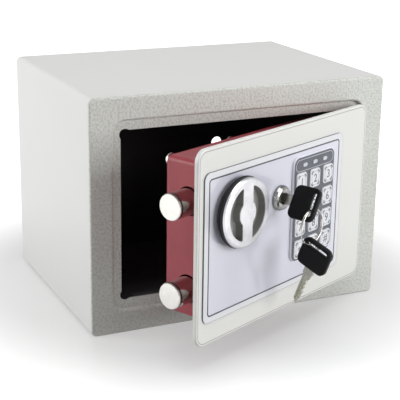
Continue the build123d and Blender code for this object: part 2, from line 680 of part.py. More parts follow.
def knob():
    """The round knob: silvered cap, black collar, shaft, bushing and crank."""
    rim_r = KNOB_R - 0.4
    spigot_r = KNOB_R - 3.8
    spigot_end = KNOB_REAR - 0.15
    cap = turned_y(
        [(0, KNOB_FRONT), (rim_r - 1.8, KNOB_FRONT), (rim_r - 0.6, KNOB_FRONT + 0.6),
         (rim_r, KNOB_FRONT + 1.8), (rim_r, KNOB_SPLIT), (spigot_r, KNOB_SPLIT),
         (spigot_r, spigot_end), (0, spigot_end)], 0, 0)
    for side in (-1, 1):
        cap -= slab(crescent(side), KNOB_FRONT - 1, KNOB_FRONT + CRESCENT_DEPTH)
    cap -= rod_y(SHAFT_FRONT, KNOB_REAR + 1, 0, 0, SHAFT_R)
    keep_on_door("knob_cap", Pos(KNOB_X, 0, KNOB_Z) * cap)
    collar = turned_y(
        [(spigot_r, KNOB_SPLIT), (KNOB_R, KNOB_SPLIT), (KNOB_R, KNOB_REAR), (spigot_r, KNOB_REAR)],
        KNOB_X, KNOB_Z)
    keep_on_door("knob_collar", collar)
    shaft = rod_y(SHAFT_FRONT, CRANK_BACK, KNOB_X, KNOB_Z, SHAFT_R)
    keep_on_door("knob_shaft", shaft)
    bore = SHAFT_R + PIN_GAP
    flange = PLATE_BACK + BUSHING_T
    bushing = turned_y(
        [(bore, FASCIA_FRONT), (SHAFT_HOLE_R, FASCIA_FRONT), (SHAFT_HOLE_R, PLATE_BACK),
         (BUSHING_R, PLATE_BACK), (BUSHING_R, flange), (bore, flange)], KNOB_X, KNOB_Z)
    keep_on_door("knob_bushing", bushing)
    lean = radians(45.0)
    pin_x = KNOB_X - CRANK_R * sin(lean)
    pin_z = KNOB_Z + CRANK_R * cos(lean)
    arm = spot(KNOB_X, KNOB_Z, CRANK_HUB_R) + spot(pin_x, pin_z, CRANK_EYE_R)
    arm += Pos((KNOB_X + pin_x) / 2, (KNOB_Z + pin_z) / 2) * Rot(0, 0, 45) * Rectangle(CRANK_W, CRANK_R)
    crank = slab(arm, CRANK_FRONT, CRANK_BACK) - rod_y(CRANK_FRONT - 1, CRANK_BACK + 1, KNOB_X, KNOB_Z, SHAFT_R)
    crank += rod_y(CRANK_BACK - 0.5, CRANK_PIN_END, pin_x, pin_z, CRANK_PIN_R)
    keep_on_door("bolt_crank", crank)


def key_frame(origin, across, normal):
    """A plane whose X runs across a key's bow and whose Y runs from blade to bow."""
    return Plane(origin=origin, x_dir=across, z_dir=normal)


def bow_outline():
    """The plastic head of a key, with its long slot near the far edge."""
    bow = Pos(0, BOW_L / 2) * RectangleRounded(BOW_W, BOW_L, BOW_R)
    return bow - Pos(0, SLOT_V) * SlotOverall(SLOT_L, SLOT_W)


def blade_outline():
    """The metal blade below the bow, with its cuts and its tip."""
    half = BLADE_W / 2
    points = [
        (-half, 0.0), (half, 0.0), (half, -4.6), (half - 1.0, -5.4), (half - 1.0, -8.0), (half - 2.4, -9.6),
        (half - 1.4, -11.4), (half - 2.9, -13.6), (half - 1.8, -15.4), (half - 3.2, -17.6), (half - 1.6, -19.6),
        (half - 2.6, -21.6), (half - 1.6, -23.4), (half - 3.0, -26.4), (0.3, -BLADE_L), (-0.8, -BLADE_L),
        (1.0 - half, -25.8), (1.0 - half, -5.4), (-half, -4.6)]
    return make_face(Polyline(*points, close=True))


def dressed_bow(plane):
    """A bow solid on its plane, with softened edges and a pocket for the blade."""
    bow = extrude(bow_outline(), BOW_T / 2, both=True)
    limit = BOW_T / 2
    bow = bevel_edges(bow, lambda c: abs(abs(c.Z) - limit) < 0.01 and abs(c.Y - SLOT_V) > SLOT_W, BOW_BEVEL)
    bow -= Pos(0, TANG_L / 2, 0) * Box(BLADE_W, TANG_L, BLADE_T)
    return plane * bow


def dressed_blade(plane):
    """A blade solid on its plane, with its tang in the bow and a milled groove."""
    tang = Pos(0, TANG_L / 2) * Rectangle(BLADE_W, TANG_L)
    blade = extrude(blade_outline() + tang, BLADE_T / 2, both=True)
    for side in (-1, 1):
        blade -= Pos(-0.9, -16.0, side * BLADE_T / 2) * Box(1.2, 24.0, 0.9)
    return plane * blade


def front_key_plane():
    """Where the key in the lock stands: turned from upright about the lock."""
    lean = radians(KEY_TURN)
    return key_frame((LOCK_X, BOW_NEAR, LOCK_Z), (sin(lean), 0, cos(lean)), (cos(lean), 0, -sin(lean)))


def ring_centre():
    """Centre of the split ring, which hangs in the slot of the key in the lock."""
    lean = radians(KEY_TURN)
    angle = radians(RING_PASS)
    x = LOCK_X + RING_U * sin(lean) - RING_R * cos(angle)
    z = LOCK_Z + RING_U * cos(lean) - RING_R * sin(angle)
    return (x, BOW_NEAR - SLOT_V, z)


def lock_and_keys():
    """The cam lock with its key, the split ring and the spare key that hangs on it."""
    bore = PLUG_R + PLUG_GAP
    barrel = turned_y(
        [(bore, LOCK_FRONT), (6.6, LOCK_FRONT), (8.0, LOCK_FRONT + 0.7), (8.8, LOCK_FRONT + 2.2),
         (8.8, FASCIA_FRONT), (BARREL_R, FASCIA_FRONT), (BARREL_R, PLUG_REAR - 2), (bore, PLUG_REAR - 2)],
        LOCK_X, LOCK_Z)
    keep_on_door("lock_barrel", barrel)
    nut = slab(Pos(LOCK_X, LOCK_Z) * (RegularPolygon(9.4, 6) - Circle(BARREL_R)), PLATE_BACK, PLATE_BACK + 3.5)
    keep_on_door("lock_nut", nut)
    plane = front_key_plane()
    plug = rod_y(LOCK_FRONT - 0.3, PLUG_REAR, LOCK_X, LOCK_Z, PLUG_R)
    keyway = plane * (Pos(0, BOW_NEAR - LOCK_FRONT - 11, 0) * Box(BLADE_W + 0.3, 24.0, BLADE_T + 0.3))
    plug -= keyway
    plug += rod_y(PLUG_REAR, PLUG_REAR + 3.5, LOCK_X, LOCK_Z, 2.8)
    keep_on_door("lock_plug", plug)
    cam_outline = Pos(0, -5.5) * SlotOverall(21.0, 9.0, rotation=90) - Circle(2.8)
    cam = slab(Pos(LOCK_X, LOCK_Z) * Rot(0, 0, -KEY_TURN) * cam_outline, PLUG_REAR + 0.2, PLUG_REAR + 2.2)
    keep_on_door("lock_cam", cam)
    keep_on_door("key_bow", dressed_bow(plane))
    keep_on_door("key_blade", dressed_blade(plane))
    x, y, z = ring_centre()
    wire = RegularPolygon(RING_WIRE / 2, 6)
    apart = RING_WIRE / 2 * cos(radians(30.0)) - 0.03
    section = Pos(RING_R, -apart) * wire + Pos(RING_R, apart) * wire
    keep_on_door("key_ring", Pos(x, y, z) * revolve(section, Axis.Y))
    tilt = radians(SPARE_TILT)
    along = (0, -sin(tilt), cos(tilt))
    across = (0, -cos(tilt), -sin(tilt))
    hang_v = SLOT_V + 0.2
    origin = (
        x,
        y - hang_v * along[1] - SPARE_U * across[1],
        z - RING_R - hang_v * along[2] - SPARE_U * across[2])
    spare = key_frame(origin, across, (-1, 0, 0))
    keep_on_door("spare_key_bow", dressed_bow(spare))
    keep_on_door("spare_key_blade", dressed_blade(spare))


def reset_button():
    """The small button inside the door that starts setting a new code."""
    face = HOUSING_BACK + RESET_PROUD
    button = rod_y(HOUSING_BACK - 4.0, face, RESET_X, RESET_Z, RESET_R)
    button = bevel_edges(button, lambda c: abs(c.Y - face) < 0.01, 0.5)
    keep_on_door("reset_button", button)


def build():
    """Builds every piece in order of assembly."""
    cabinet_shell()
    front_frame()
    back_panel()
    floor_mat()
    hinge_fixed_side()
    hinge_arm("lower_hinge_arm", ARM_LOW_Z)
    hinge_arm("upper_hinge_arm", ARM_HIGH_Z)
    door_plate()
    lock_housing()
    mechanism_cover()
    cover_screws()
    battery_pack()
    fascia()
    keypad()
    control_electronics()
    solenoid()
    bolt_work()
    knob()
    lock_and_keys()
    reset_button()


build()
os.makedirs("parts", exist_ok=True)
for name, shape in PARTS.items():
    export_step(shape, "parts/" + name + ".step")
    print(name, len(shape.solids()), round(shape.volume, 1))
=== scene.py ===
import json
import logging
from dataclasses import dataclass
from enum import Enum
from math import cos, pi, radians, sin
from typing import Callable, Optional, Sequence, Union

import bmesh
import bpy
from bpy.types import Material, Node, NodeSocket, NodeTree, Object
from mathutils import Matrix, Vector


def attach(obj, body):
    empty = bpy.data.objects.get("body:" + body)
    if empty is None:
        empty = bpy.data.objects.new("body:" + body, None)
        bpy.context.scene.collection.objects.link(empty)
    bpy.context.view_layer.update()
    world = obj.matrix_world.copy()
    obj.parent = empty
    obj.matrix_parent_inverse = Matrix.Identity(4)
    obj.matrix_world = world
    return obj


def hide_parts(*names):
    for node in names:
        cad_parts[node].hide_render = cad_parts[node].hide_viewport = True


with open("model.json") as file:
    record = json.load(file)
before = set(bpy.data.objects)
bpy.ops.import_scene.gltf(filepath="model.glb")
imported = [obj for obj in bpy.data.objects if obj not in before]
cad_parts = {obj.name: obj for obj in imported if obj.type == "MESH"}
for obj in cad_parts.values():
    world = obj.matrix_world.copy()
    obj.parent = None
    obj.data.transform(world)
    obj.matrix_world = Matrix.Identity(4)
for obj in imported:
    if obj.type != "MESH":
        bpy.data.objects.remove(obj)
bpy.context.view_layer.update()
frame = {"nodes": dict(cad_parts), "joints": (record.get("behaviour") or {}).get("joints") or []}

# A small electronic safe with its door ajar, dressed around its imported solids.
# Blender works in metres. The safe's sizes are millimetres and pass through MM.
MM = 0.001
BLACK = (0.0, 0.0, 0.0)
WHITE = (1.0, 1.0, 1.0)
LOG = logging.getLogger("safe")
# The side and level of each quarter of an outline, in the order of its angles.
QUARTERS = ((1, 1), (-1, 1), (-1, -1), (1, -1))

Number = Union[float, int, "Wire"]
Colour = tuple[float, float, float]
Paint = Union[Colour, NodeSocket]
Point = tuple[float, float]
# Left, right, bottom and top.
Plan = tuple[float, float, float, float]


class Operation(Enum):
    """The Math node operations that the finishes use."""

    ADD = "ADD"
    SUBTRACT = "SUBTRACT"
    MULTIPLY = "MULTIPLY"
    MAXIMUM = "MAXIMUM"
    MINIMUM = "MINIMUM"
    ABSOLUTE = "ABSOLUTE"
    SQRT = "SQRT"
    SINE = "SINE"


class Space(Enum):
    """Which way round a finish measures the piece that it covers."""

    CABINET = "cabinet"
    DOOR = "door"


class Wire:
    """A number socket, so that shader maths reads as plain expressions."""

    def __init__(self, graph: "Graph", socket: NodeSocket) -> None:
        """Keeps the socket and the graph that it belongs to."""
        self.graph = graph
        self.socket = socket

    def _math(self, operation: Operation, other: Optional[Number] = None, flipped: bool = False) -> "Wire":
        """Adds one Math node.

        Args:
            operation: What the node works out.
            other: The second value, if it takes one.
            flipped: True puts the second value first.

        Returns:
            The node's result.
        """
        values = [self] if other is None else [self, other]
        if flipped:
            values.reverse()
        node = self.graph.add("ShaderNodeMath", {"operation": operation.value}, dict(enumerate(values)))
        return Wire(self.graph, node.outputs[0])

    def __add__(self, other: Number) -> "Wire":
        """Sum."""
        return self._math(Operation.ADD, other)

    def __radd__(self, other: Number) -> "Wire":
        """Sum, from the right."""
        return self._math(Operation.ADD, other)

    def __sub__(self, other: Number) -> "Wire":
        """Difference."""
        return self._math(Operation.SUBTRACT, other)

    def __rsub__(self, other: Number) -> "Wire":
        """Difference, from the right."""
        return self._math(Operation.SUBTRACT, other, True)

    def __mul__(self, other: Number) -> "Wire":
        """Product."""
        return self._math(Operation.MULTIPLY, other)

    def __rmul__(self, other: Number) -> "Wire":
        """Product, from the right."""
        return self._math(Operation.MULTIPLY, other)

    def __abs__(self) -> "Wire":
        """Size without sign."""
        return self._math(Operation.ABSOLUTE)

    def at_least(self, other: Number) -> "Wire":
        """The larger of two values."""
        return self._math(Operation.MAXIMUM, other)

    def at_most(self, other: Number) -> "Wire":
        """The smaller of two values."""
        return self._math(Operation.MINIMUM, other)

    def root(self) -> "Wire":
        """Square root."""
        return self._math(Operation.SQRT)

    def sine(self) -> "Wire":
        """Sine of an angle in radians."""
        return self._math(Operation.SINE)

    def ramp(self, low: float, high: float) -> "Wire":
        """Rises from 0 to 1, softened and held at both ends.

        Args:
            low: Where it leaves 0.
            high: Where it reaches 1.

        Returns:
            The risen value.
        """
        node = self.graph.add(
            "ShaderNodeMapRange", {"interpolation_type": "SMOOTHSTEP"},
            {"Value": self, "From Min": low, "From Max": high})
        return Wire(self.graph, node.outputs["Result"])


@dataclass(frozen=True)
class DoorSpace:
    """Where the door stands: its hinge line and how far it is swung open."""

    hinge: Vector
    angle: float

    @classmethod
    def from_frame(cls) -> "DoorSpace":
        """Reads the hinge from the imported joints.

        Returns:
            The door's place at rest.
        """
        joint = next(j for j in frame["joints"] if j["name"] == "door_hinge")
        x, y, _ = joint["pos_m"]
        return cls(Vector((x, y, 0.0)), radians(-joint["range_deg"][0]))

    def matrix(self) -> Matrix:
        """Carries millimetres on the shut door to metres on the door ajar."""
        swing = Matrix.Rotation(self.angle, 4, "Z")
        return Matrix.Translation(self.hinge) @ swing @ Matrix.Translation(-self.hinge) @ Matrix.Scale(MM, 4)


DOOR = DoorSpace.from_frame()


class Graph:
    """A node tree, and the one method that adds its nodes."""

    def __init__(self, tree: NodeTree) -> None:
        """Empties the tree."""
        self.tree = tree
        self.tree.nodes.clear()

    def add(
        self, kind: str, settings: Optional[dict] = None, inputs: Optional[dict] = None
    ) -> Node:
        """Adds any node.

        Args:
            kind: The node's type.
            settings: Its properties, set before the sockets.
            inputs: Values or links by socket name or number.

        Returns:
            The node.
        """
        node = self.tree.nodes.new(kind)
        for key, value in (settings or {}).items():
            setattr(node, key, value)
        for key, value in (inputs or {}).items():
            socket = node.inputs[key]
            if isinstance(value, Wire):
                value = value.socket
            if isinstance(value, NodeSocket):
                self.tree.links.new(value, socket)
            elif isinstance(value, tuple) and len(value) == 3 and len(socket.default_value) == 4:
                socket.default_value = (*value, 1.0)
            else:
                socket.default_value = value
        return node

    def seen(self) -> Wire:
        """Tells what is looked at from what only lights.

        Returns:
            1 for what the camera sees, straight or by way of gloss or glass, otherwise 0.
        """
        path = self.add("ShaderNodeLightPath")
        straight, gloss, glass = (
            Wire(self, path.outputs[name])
            for name in ("Is Camera Ray", "Is Glossy Ray", "Is Transmission Ray"))
        return (straight + gloss + glass).at_most(1.0)


class Surface(Graph):
    """The node tree of one material, which measures its piece in millimetres."""

    def __init__(self, name: str, space: Space) -> None:
        """Makes an empty material.

        Args:
            name: The material's name.
            space: Which way round the piece is measured.
        """
        self.material = bpy.data.materials.new(name)
        self.material.use_nodes = True
        super().__init__(self.material.node_tree)
        place = self.add("ShaderNodeTexCoord").outputs["Object"]
        if space is Space.DOOR:
            turned = self.add(
                "ShaderNodeVectorRotate", {"rotation_type": "Z_AXIS"},
                {"Vector": place, "Center": DOOR.hinge, "Angle": -DOOR.angle})
            place = turned.outputs["Vector"]
        scaled = self.add("ShaderNodeVectorMath", {"operation": "SCALE"}, {0: place, "Scale": 1.0 / MM})
        self.place = scaled.outputs["Vector"]

    def axes(self) -> tuple[Wire, Wire, Wire]:
        """The piece's place as three numbers in millimetres."""
        split = self.add("ShaderNodeSeparateXYZ", None, {0: self.place})
        return tuple(Wire(self, split.outputs[i]) for i in range(3))

    def noise(self, size: float, detail: float, roughness: float, stretch: Optional[Colour] = None) -> Wire:
        """Noise whose features are about so many millimetres across.

        Args:
            size: Size of a feature.
            detail: Octaves.
            roughness: Strength of the finer octaves.
            stretch: How far each axis is squeezed, for brushed or streaked looks.

        Returns:
            The noise, from 0 to 1.
        """
        place = self.place
        if stretch:
            squeezed = self.add("ShaderNodeVectorMath", {"operation": "MULTIPLY"}, {0: place, 1: stretch})
            place = squeezed.outputs[0]
        node = self.add(
            "ShaderNodeTexNoise", None,
            {"Vector": place, "Scale": 1.0 / size, "Detail": detail, "Roughness": roughness})
        return Wire(self, node.outputs["Fac"])

    def mix(self, factor: Number, first: Paint, second: Paint) -> NodeSocket:
        """Mixes two colours.

        Args:
            factor: 0 gives the first, 1 the second.
            first: A colour or a link.
            second: A colour or a link.

        Returns:
            The mixed colour.
        """
        node = self.add("ShaderNodeMix", {"data_type": "RGBA"}, {0: factor, 6: first, 7: second})
        return node.outputs[2]

    def bump(self, height: Wire, depth: float) -> NodeSocket:
        """Turns a height from 0 to 1 into a normal.

        Args:
            height: The height.
            depth: Millimetres from 0 to 1.

        Returns:
            The normal.
        """
        node = self.add("ShaderNodeBump", None, {"Height": height, "Distance": depth * MM})
        return node.outputs["Normal"]

    def principled(self, inputs: dict) -> Material:
        """Ends the tree in one Principled surface.

        Args:
            inputs: Values or links of the shader's sockets.

        Returns:
            The finished material.
        """
        shader = self.add("ShaderNodeBsdfPrincipled", None, inputs)
        self.add("ShaderNodeOutputMaterial", None, {"Surface": shader.outputs[0]})
        return self.material


def rounded_box(x: Wire, z: Wire, plan: Plan, radius: float) -> Wire:
    """Distance from a rounded rectangle's outline, negative inside.

    Args:
        x: Place across.
        z: Place up.
        plan: Left, right, bottom and top.
        radius: Corner radius.

    Returns:
        The distance in millimetres.
    """
    left, right, bottom, top = plan
    across = abs(x - (left + right) / 2) - ((right - left) / 2 - radius)
    upward = abs(z - (bottom + top) / 2) - ((top - bottom) / 2 - radius)
    out_x = across.at_least(0.0)
    out_z = upward.at_least(0.0)
    outside = (out_x * out_x + out_z * out_z).root()
    return outside + across.at_least(upward).at_most(0.0) - radius


@dataclass(frozen=True)
class PowderCoat:
    """Baked powder paint with the fine orange peel that it cures with.

    An inner colour covers the faces inside the cabinet's skin, or those behind a depth. The low pits
    of the peel take the shade colour as painted shade. A rim paints a dark crease line round a plate,
    painted shade along its pressed rim.
    """

    colour: Colour
    shade: Colour
    grain: float
    depth: float
    roughness: float
    # Share of the shade colour painted into the low pits of the peel: painted shade.
    pit_shade_share: float = 0.12
    cloud_size: float = 34.0
    cloud_share: float = 0.3
    inner: Optional[Colour] = None
    behind: Optional[float] = None
    skin: Plan = (-114.0, 114.0, 1.0, 169.0)
    skin_corner: float = 3.0
    skin_back: float = 84.0
    blur: float = 0.3
    rim: Optional[Plan] = None
    rim_corner: float = 8.0
    rim_inset: float = 1.7
    # Painted shade: colour of the dark line along the plate's pressed rim.
    crease: Colour = (0.3, 0.3, 0.29)
    crease_shade_share: float = 0.8

    def make(self, name: str, space: Space) -> Material:
        """Builds the paint.

        Args:
            name: The material's name.
            space: How the piece is measured.

        Returns:
            The paint.
        """
        graph = Surface(name, space)
        peel = graph.noise(self.grain, 2.0, 0.55)
        fine = graph.noise(self.grain * 0.38, 1.0, 0.5)
        cloud = graph.noise(self.cloud_size, 3.0, 0.6)
        # Painted shade: the low pits of the peel take the shade colour.
        pit_shade = (1.0 - peel).ramp(0.44, 0.62)
        colour = graph.mix(pit_shade * self.pit_shade_share + cloud * self.cloud_share, self.colour, self.shade)
        x, y, z = graph.axes()
        if self.inner:
            skin = rounded_box(x, z, self.skin, self.skin_corner).at_least(y - self.skin_back)
            within = 0.0 - skin if self.behind is None else y - self.behind
            colour = graph.mix(within.ramp(-self.blur, self.blur), colour, self.inner)
        # Painted shade: a dark line drawn round the plate's pressed rim.
        if self.rim:
            away = abs(rounded_box(x, z, self.rim, self.rim_corner) + self.rim_inset)
            line = 1.0 - away.ramp(0.1, 0.45)
            colour = graph.mix(line * self.crease_shade_share, colour, self.crease)
        return graph.principled({
            "Base Color": colour, "Roughness": self.roughness + (peel - 0.5) * 0.16,
            "Normal": graph.bump(peel * 0.7 + fine * 0.3, self.depth)})


@dataclass(frozen=True)
class Enamel:
    """Smooth stove enamel."""

    colour: Colour
    shade: Colour
    roughness: float = 0.34
    cloud_size: float = 22.0
    peel_size: float = 1.6
    peel_depth: float = 0.015

    def make(self, name: str) -> Material:
        """Builds the enamel.

        Args:
            name: The material's name.

        Returns:
            The enamel.
        """
        graph = Surface(name, Space.DOOR)
        cloud = graph.noise(self.cloud_size, 2.0, 0.5)
        peel = graph.noise(self.peel_size, 1.0, 0.4)
        return graph.principled({
            "Base Color": graph.mix(cloud.ramp(0.3, 0.75), self.colour, self.shade),
            "Roughness": self.roughness + (cloud - 0.5) * 0.08, "Specular IOR Level": 0.3,
            "Normal": graph.bump(peel, self.peel_depth)})


@dataclass(frozen=True)
class Film:
    """Printed film: ground colour, paler border, painted shade along its rim and a painted sheen across."""

    colour: Colour
    # Colour of the painted sheen: lighter streaks that stand in for reflected light.
    light: Colour
    # Colour of the rim: painted shade of the gap along the film's edge.
    edge: Colour
    plan: Plan
    corner: float
    front: float
    painted_sheen_size: float
    roughness: float
    coat: float
    border: Optional[Colour] = None
    border_width: float = 0.0
    # Pale colour painted on the side faces: painted light that lifts their shade.
    side: Optional[Colour] = None

    def make(self, name: str) -> Material:
        """Builds the film.

        Args:
            name: The material's name.

        Returns:
            The film.
        """
        graph = Surface(name, Space.DOOR)
        x, y, z = graph.axes()
        # Painted sheen: lighter streaks across the film, standing in for reflected light.
        painted_sheen = graph.noise(self.painted_sheen_size, 1.0, 0.4, (1.0, 0.05, 0.12))
        grain = graph.noise(0.35, 1.0, 0.5)
        colour = graph.mix(painted_sheen.ramp(0.35, 0.7), self.colour, self.light)
        away = rounded_box(x, z, self.plan, self.corner)
        if self.border:
            outside = away.ramp(-self.border_width - 0.1, -self.border_width + 0.1)
            colour = graph.mix(outside, colour, self.border)
        # Painted shade: the film's rim takes the edge colour, for the shade in the gap round it.
        edge_shade = away.ramp(-0.3, -0.12)
        colour = graph.mix(edge_shade, colour, self.edge)
        # Painted light: the side faces take the pale side colour, which lifts the shade on them.
        if self.side:
            colour = graph.mix(y.ramp(self.front + 0.05, self.front + 0.25), colour, self.side)
        return graph.principled({
            "Base Color": colour, "Roughness": self.roughness + (grain - 0.5) * 0.06 + edge_shade * 0.3,
            "Coat Weight": self.coat, "Coat Roughness": 0.08, "Normal": graph.bump(grain, 0.006)})


@dataclass(frozen=True)
class Plastic:
    """Moulded plastic or printing ink, with a spark-eroded grain."""

    colour: Colour
    shade: Colour
    roughness: float
    grain: float = 0.4
    depth: float = 0.02
    coat: float = 0.0
    gloss: float = 0.5
    cloud_size: float = 9.0

    def make(self, name: str) -> Material:
        """Builds the plastic.

        Args:
            name: The material's name.

        Returns:
            The plastic.
        """
        graph = Surface(name, Space.DOOR)
        grain = graph.noise(self.grain, 2.0, 0.6)
        cloud = graph.noise(self.cloud_size, 2.0, 0.5)
        colour = graph.mix(cloud.ramp(0.3, 0.7) * 0.6 + grain * 0.4, self.colour, self.shade)
        return graph.principled({
            "Base Color": colour, "Roughness": self.roughness + (grain - 0.5) * 0.14,
            "Coat Weight": self.coat, "Coat Roughness": 0.15, "Specular IOR Level": self.gloss,
            "Normal": graph.bump(grain, self.depth)})


@dataclass(frozen=True)
class Metal:
    """Bare or plated metal, polished to satin, with faint handling marks."""

    colour: Colour
    shade: Colour
    roughness: float
    haze: float = 0.06
    brush: Optional[Colour] = None
    depth: float = 0.004
    mark_size: float = 6.0
    line_size: float = 0.5

    def make(self, name: str, space: Space = Space.DOOR) -> Material:
        """Builds the metal; a brush direction draws fine lines along it.

        Args:
            name: The material's name.
            space: How the piece is measured.

        Returns:
            The metal.
        """
        graph = Surface(name, space)
        marks = graph.noise(self.mark_size, 3.0, 0.6)
        lines = graph.noise(self.line_size, 2.0, 0.6, self.brush)
        return graph.principled({
            "Base Color": graph.mix(marks.ramp(0.35, 0.7), self.colour, self.shade), "Metallic": 1.0,
            "Roughness": self.roughness + (marks - 0.5) * self.haze + (lines - 0.5) * self.haze,
            "Normal": graph.bump(lines, self.depth)})


@dataclass(frozen=True)
class BoltChrome:
    """Chrome plate; the groove behind the bolt's end is painted near black, as painted shade."""

    colour: Colour = (0.52, 0.51, 0.48)
    worn: Colour = (0.42, 0.41, 0.39)
    # Near-black colour painted in the groove: painted shade.
    groove: Colour = (0.012, 0.012, 0.013)
    tip_x: float = -99.0
    groove_from: float = 1.35
    groove_to: float = 2.75
    roughness: float = 0.09

    def make(self, name: str) -> Material:
        """Builds the bolt's finish.

        Args:
            name: The material's name.

        Returns:
            The finish.
        """
        graph = Surface(name, Space.DOOR)
        x, _, _ = graph.axes()
        marks = graph.noise(5.0, 3.0, 0.6)
        lines = graph.noise(0.6, 2.0, 0.6, (0.2, 3.0, 3.0))
        middle = self.tip_x + (self.groove_from + self.groove_to) / 2
        half = (self.groove_to - self.groove_from) / 2
        # Painted shade: the groove behind the end is painted near black, with no metal.
        dark = 1.0 - abs(x - middle).ramp(half - 0.06, half + 0.02)
        return graph.principled({
            "Base Color": graph.mix(dark, graph.mix(marks, self.colour, self.worn), self.groove),
            "Metallic": 1.0 - dark, "Roughness": self.roughness + marks * 0.05 + dark * 0.4,
            "Normal": graph.bump(lines, 0.002)})


@dataclass(frozen=True)
class KnobSilver:
    """Satin silver face and lip; hollows in painted shade, paler deepest down by painted light; black skirt.
    """

    axis: Point
    front: float
    face: Colour = (0.65, 0.65, 0.67)
    face_shade: Colour = (0.56, 0.56, 0.58)
    # Dark grey painted on the hollows: painted shade.
    wall_shade: Colour = (0.2, 0.2, 0.19)
    # Paler grey painted deepest in the hollows: painted light, standing in for a lit sloping floor.
    floor_light: Colour = (0.68, 0.68, 0.66)
    skirt: Colour = (0.012, 0.012, 0.014)
    hollow_radius: float = 19.4
    floor_light_from: float = 5.4
    floor_light_to: float = 7.3
    lip: float = 1.9
    roughness: float = 0.36

    def make(self, name: str) -> Material:
        """Builds the finish, alike all round the knob's axis.

        Args:
            name: The material's name.

        Returns:
            The finish.
        """
        graph = Surface(name, Space.DOOR)
        x, y, z = graph.axes()
        across = x - self.axis[0]
        upward = z - self.axis[1]
        radius = (across * across + upward * upward).root()
        marks = graph.noise(7.0, 3.0, 0.6)
        grain = graph.noise(0.5, 2.0, 0.6)
        within = 1.0 - radius.ramp(self.hollow_radius - 0.2, self.hollow_radius + 0.2)
        # Painted shade: the hollows below the face are painted dark grey and made less metallic.
        hollow = within * y.ramp(self.front + 0.35, self.front + 1.0)
        skirt = (1.0 - within) * y.ramp(self.front + self.lip - 0.1, self.front + self.lip + 0.1)
        # Painted light: the hollows grow paler towards their floor, as if a sloped floor there caught the
        # light.
        floor_light_share = y.ramp(self.front + self.floor_light_from, self.front + self.floor_light_to)
        colour = graph.mix(marks.ramp(0.35, 0.7), self.face, self.face_shade)
        colour = graph.mix(hollow, colour, graph.mix(floor_light_share, self.wall_shade, self.floor_light))
        colour = graph.mix(skirt, colour, self.skirt)
        return graph.principled({
            "Base Color": colour, "Metallic": (1.0 - skirt) * (1.0 - hollow * 0.75),
            "Roughness": self.roughness + (marks - 0.5) * 0.08 + hollow * 0.06,
            "Normal": graph.bump(grain, 0.003)})


@dataclass(frozen=True)
class Felt:
    """Short black felt."""

    colour: Colour = (0.02, 0.02, 0.023)
    lint: Colour = (0.06, 0.06, 0.065)
    fibre_size: float = 0.5
    tuft_size: float = 3.5
    depth: float = 0.25

    def make(self, name: str) -> Material:
        """Builds the felt.

        Args:
            name: The material's name.

        Returns:
            The felt.
        """
        graph = Surface(name, Space.CABINET)
        fibre = graph.noise(self.fibre_size, 4.0, 0.7)
        tuft = graph.noise(self.tuft_size, 2.0, 0.5)
        return graph.principled({
            "Base Color": graph.mix(fibre.ramp(0.4, 0.75), self.colour, self.lint),
            "Roughness": 0.95, "Sheen Weight": 0.3,
            "Normal": graph.bump(fibre * 0.7 + tuft * 0.3, self.depth)})


@dataclass(frozen=True)
class CircuitBoard:
    """Green solder mask with copper tracks; what stands on the board is black."""

    mask: Colour = (0.02, 0.16, 0.07)
    track: Colour = (0.05, 0.3, 0.13)
    parts: Colour = (0.02, 0.02, 0.022)
    face_y: float = -70.3
    row_pitch: float = 2.4
    column_pitch: float = 3.1

    def make(self, name: str) -> Material:
        """Builds the board.

        Args:
            name: The material's name.

        Returns:
            The board.
        """
        graph = Surface(name, Space.DOOR)
        x, y, z = graph.axes()
        bend = graph.noise(7.0, 0.0, 0.5)
        rows = ((x + bend * 9.0) * (2 * pi / self.row_pitch)).sine().ramp(0.55, 0.8)
        columns = ((z + bend * 11.0) * (2 * pi / self.column_pitch)).sine().ramp(0.7, 0.9)
        tracks = rows.at_least(columns)
        raised = y.ramp(self.face_y, self.face_y + 0.2)
        return graph.principled({
            "Base Color": graph.mix(raised, graph.mix(tracks, self.mask, self.track), self.parts),
            "Roughness": 0.35 + tracks * 0.1, "Normal": graph.bump(tracks, 0.03)})


class Outline:
    """Closed outlines in the plane of a face, as lists of points in millimetres."""

    @staticmethod
    def arc(x: float, y: float, radius: float, start: float, end: float, steps: int) -> list[Point]:
        """Points along an arc.

        Args:
            x: Centre across.
            y: Centre up.
            radius: Radius.
            start: First angle in radians.
            end: Last angle.
            steps: Number of steps.

        Returns:
            One point more than there are steps.
        """
        angles = [start + (end - start) * i / steps for i in range(steps + 1)]
        return [(x + radius * cos(angle), y + radius * sin(angle)) for angle in angles]

    @classmethod
    def rectangle(cls, width: float, height: float, radius: float, steps: int = 8) -> list[Point]:
        """A rounded rectangle about the middle.

        Args:
            width: Size across.
            height: Size up.
            radius: Corner radius.
            steps: Steps round a corner.

        Returns:
            The outline.
        """
        points = []
        for quarter, (side, level) in enumerate(QUARTERS):
            start = quarter * pi / 2
            points += cls.arc(
                side * (width / 2 - radius), level * (height / 2 - radius), radius,
                start, start + pi / 2, steps)
        return points

    @staticmethod
    def ellipse(width: float, height: float, steps: int = 40) -> list[Point]:
        """An ellipse about the middle.

        Args:
            width: Size across.
            height: Size up.
            steps: Steps round the whole.

        Returns:
            The outline.
        """
        angles = [2 * pi * i / steps for i in range(steps)]
        return [(width / 2 * cos(angle), height / 2 * sin(angle)) for angle in angles]


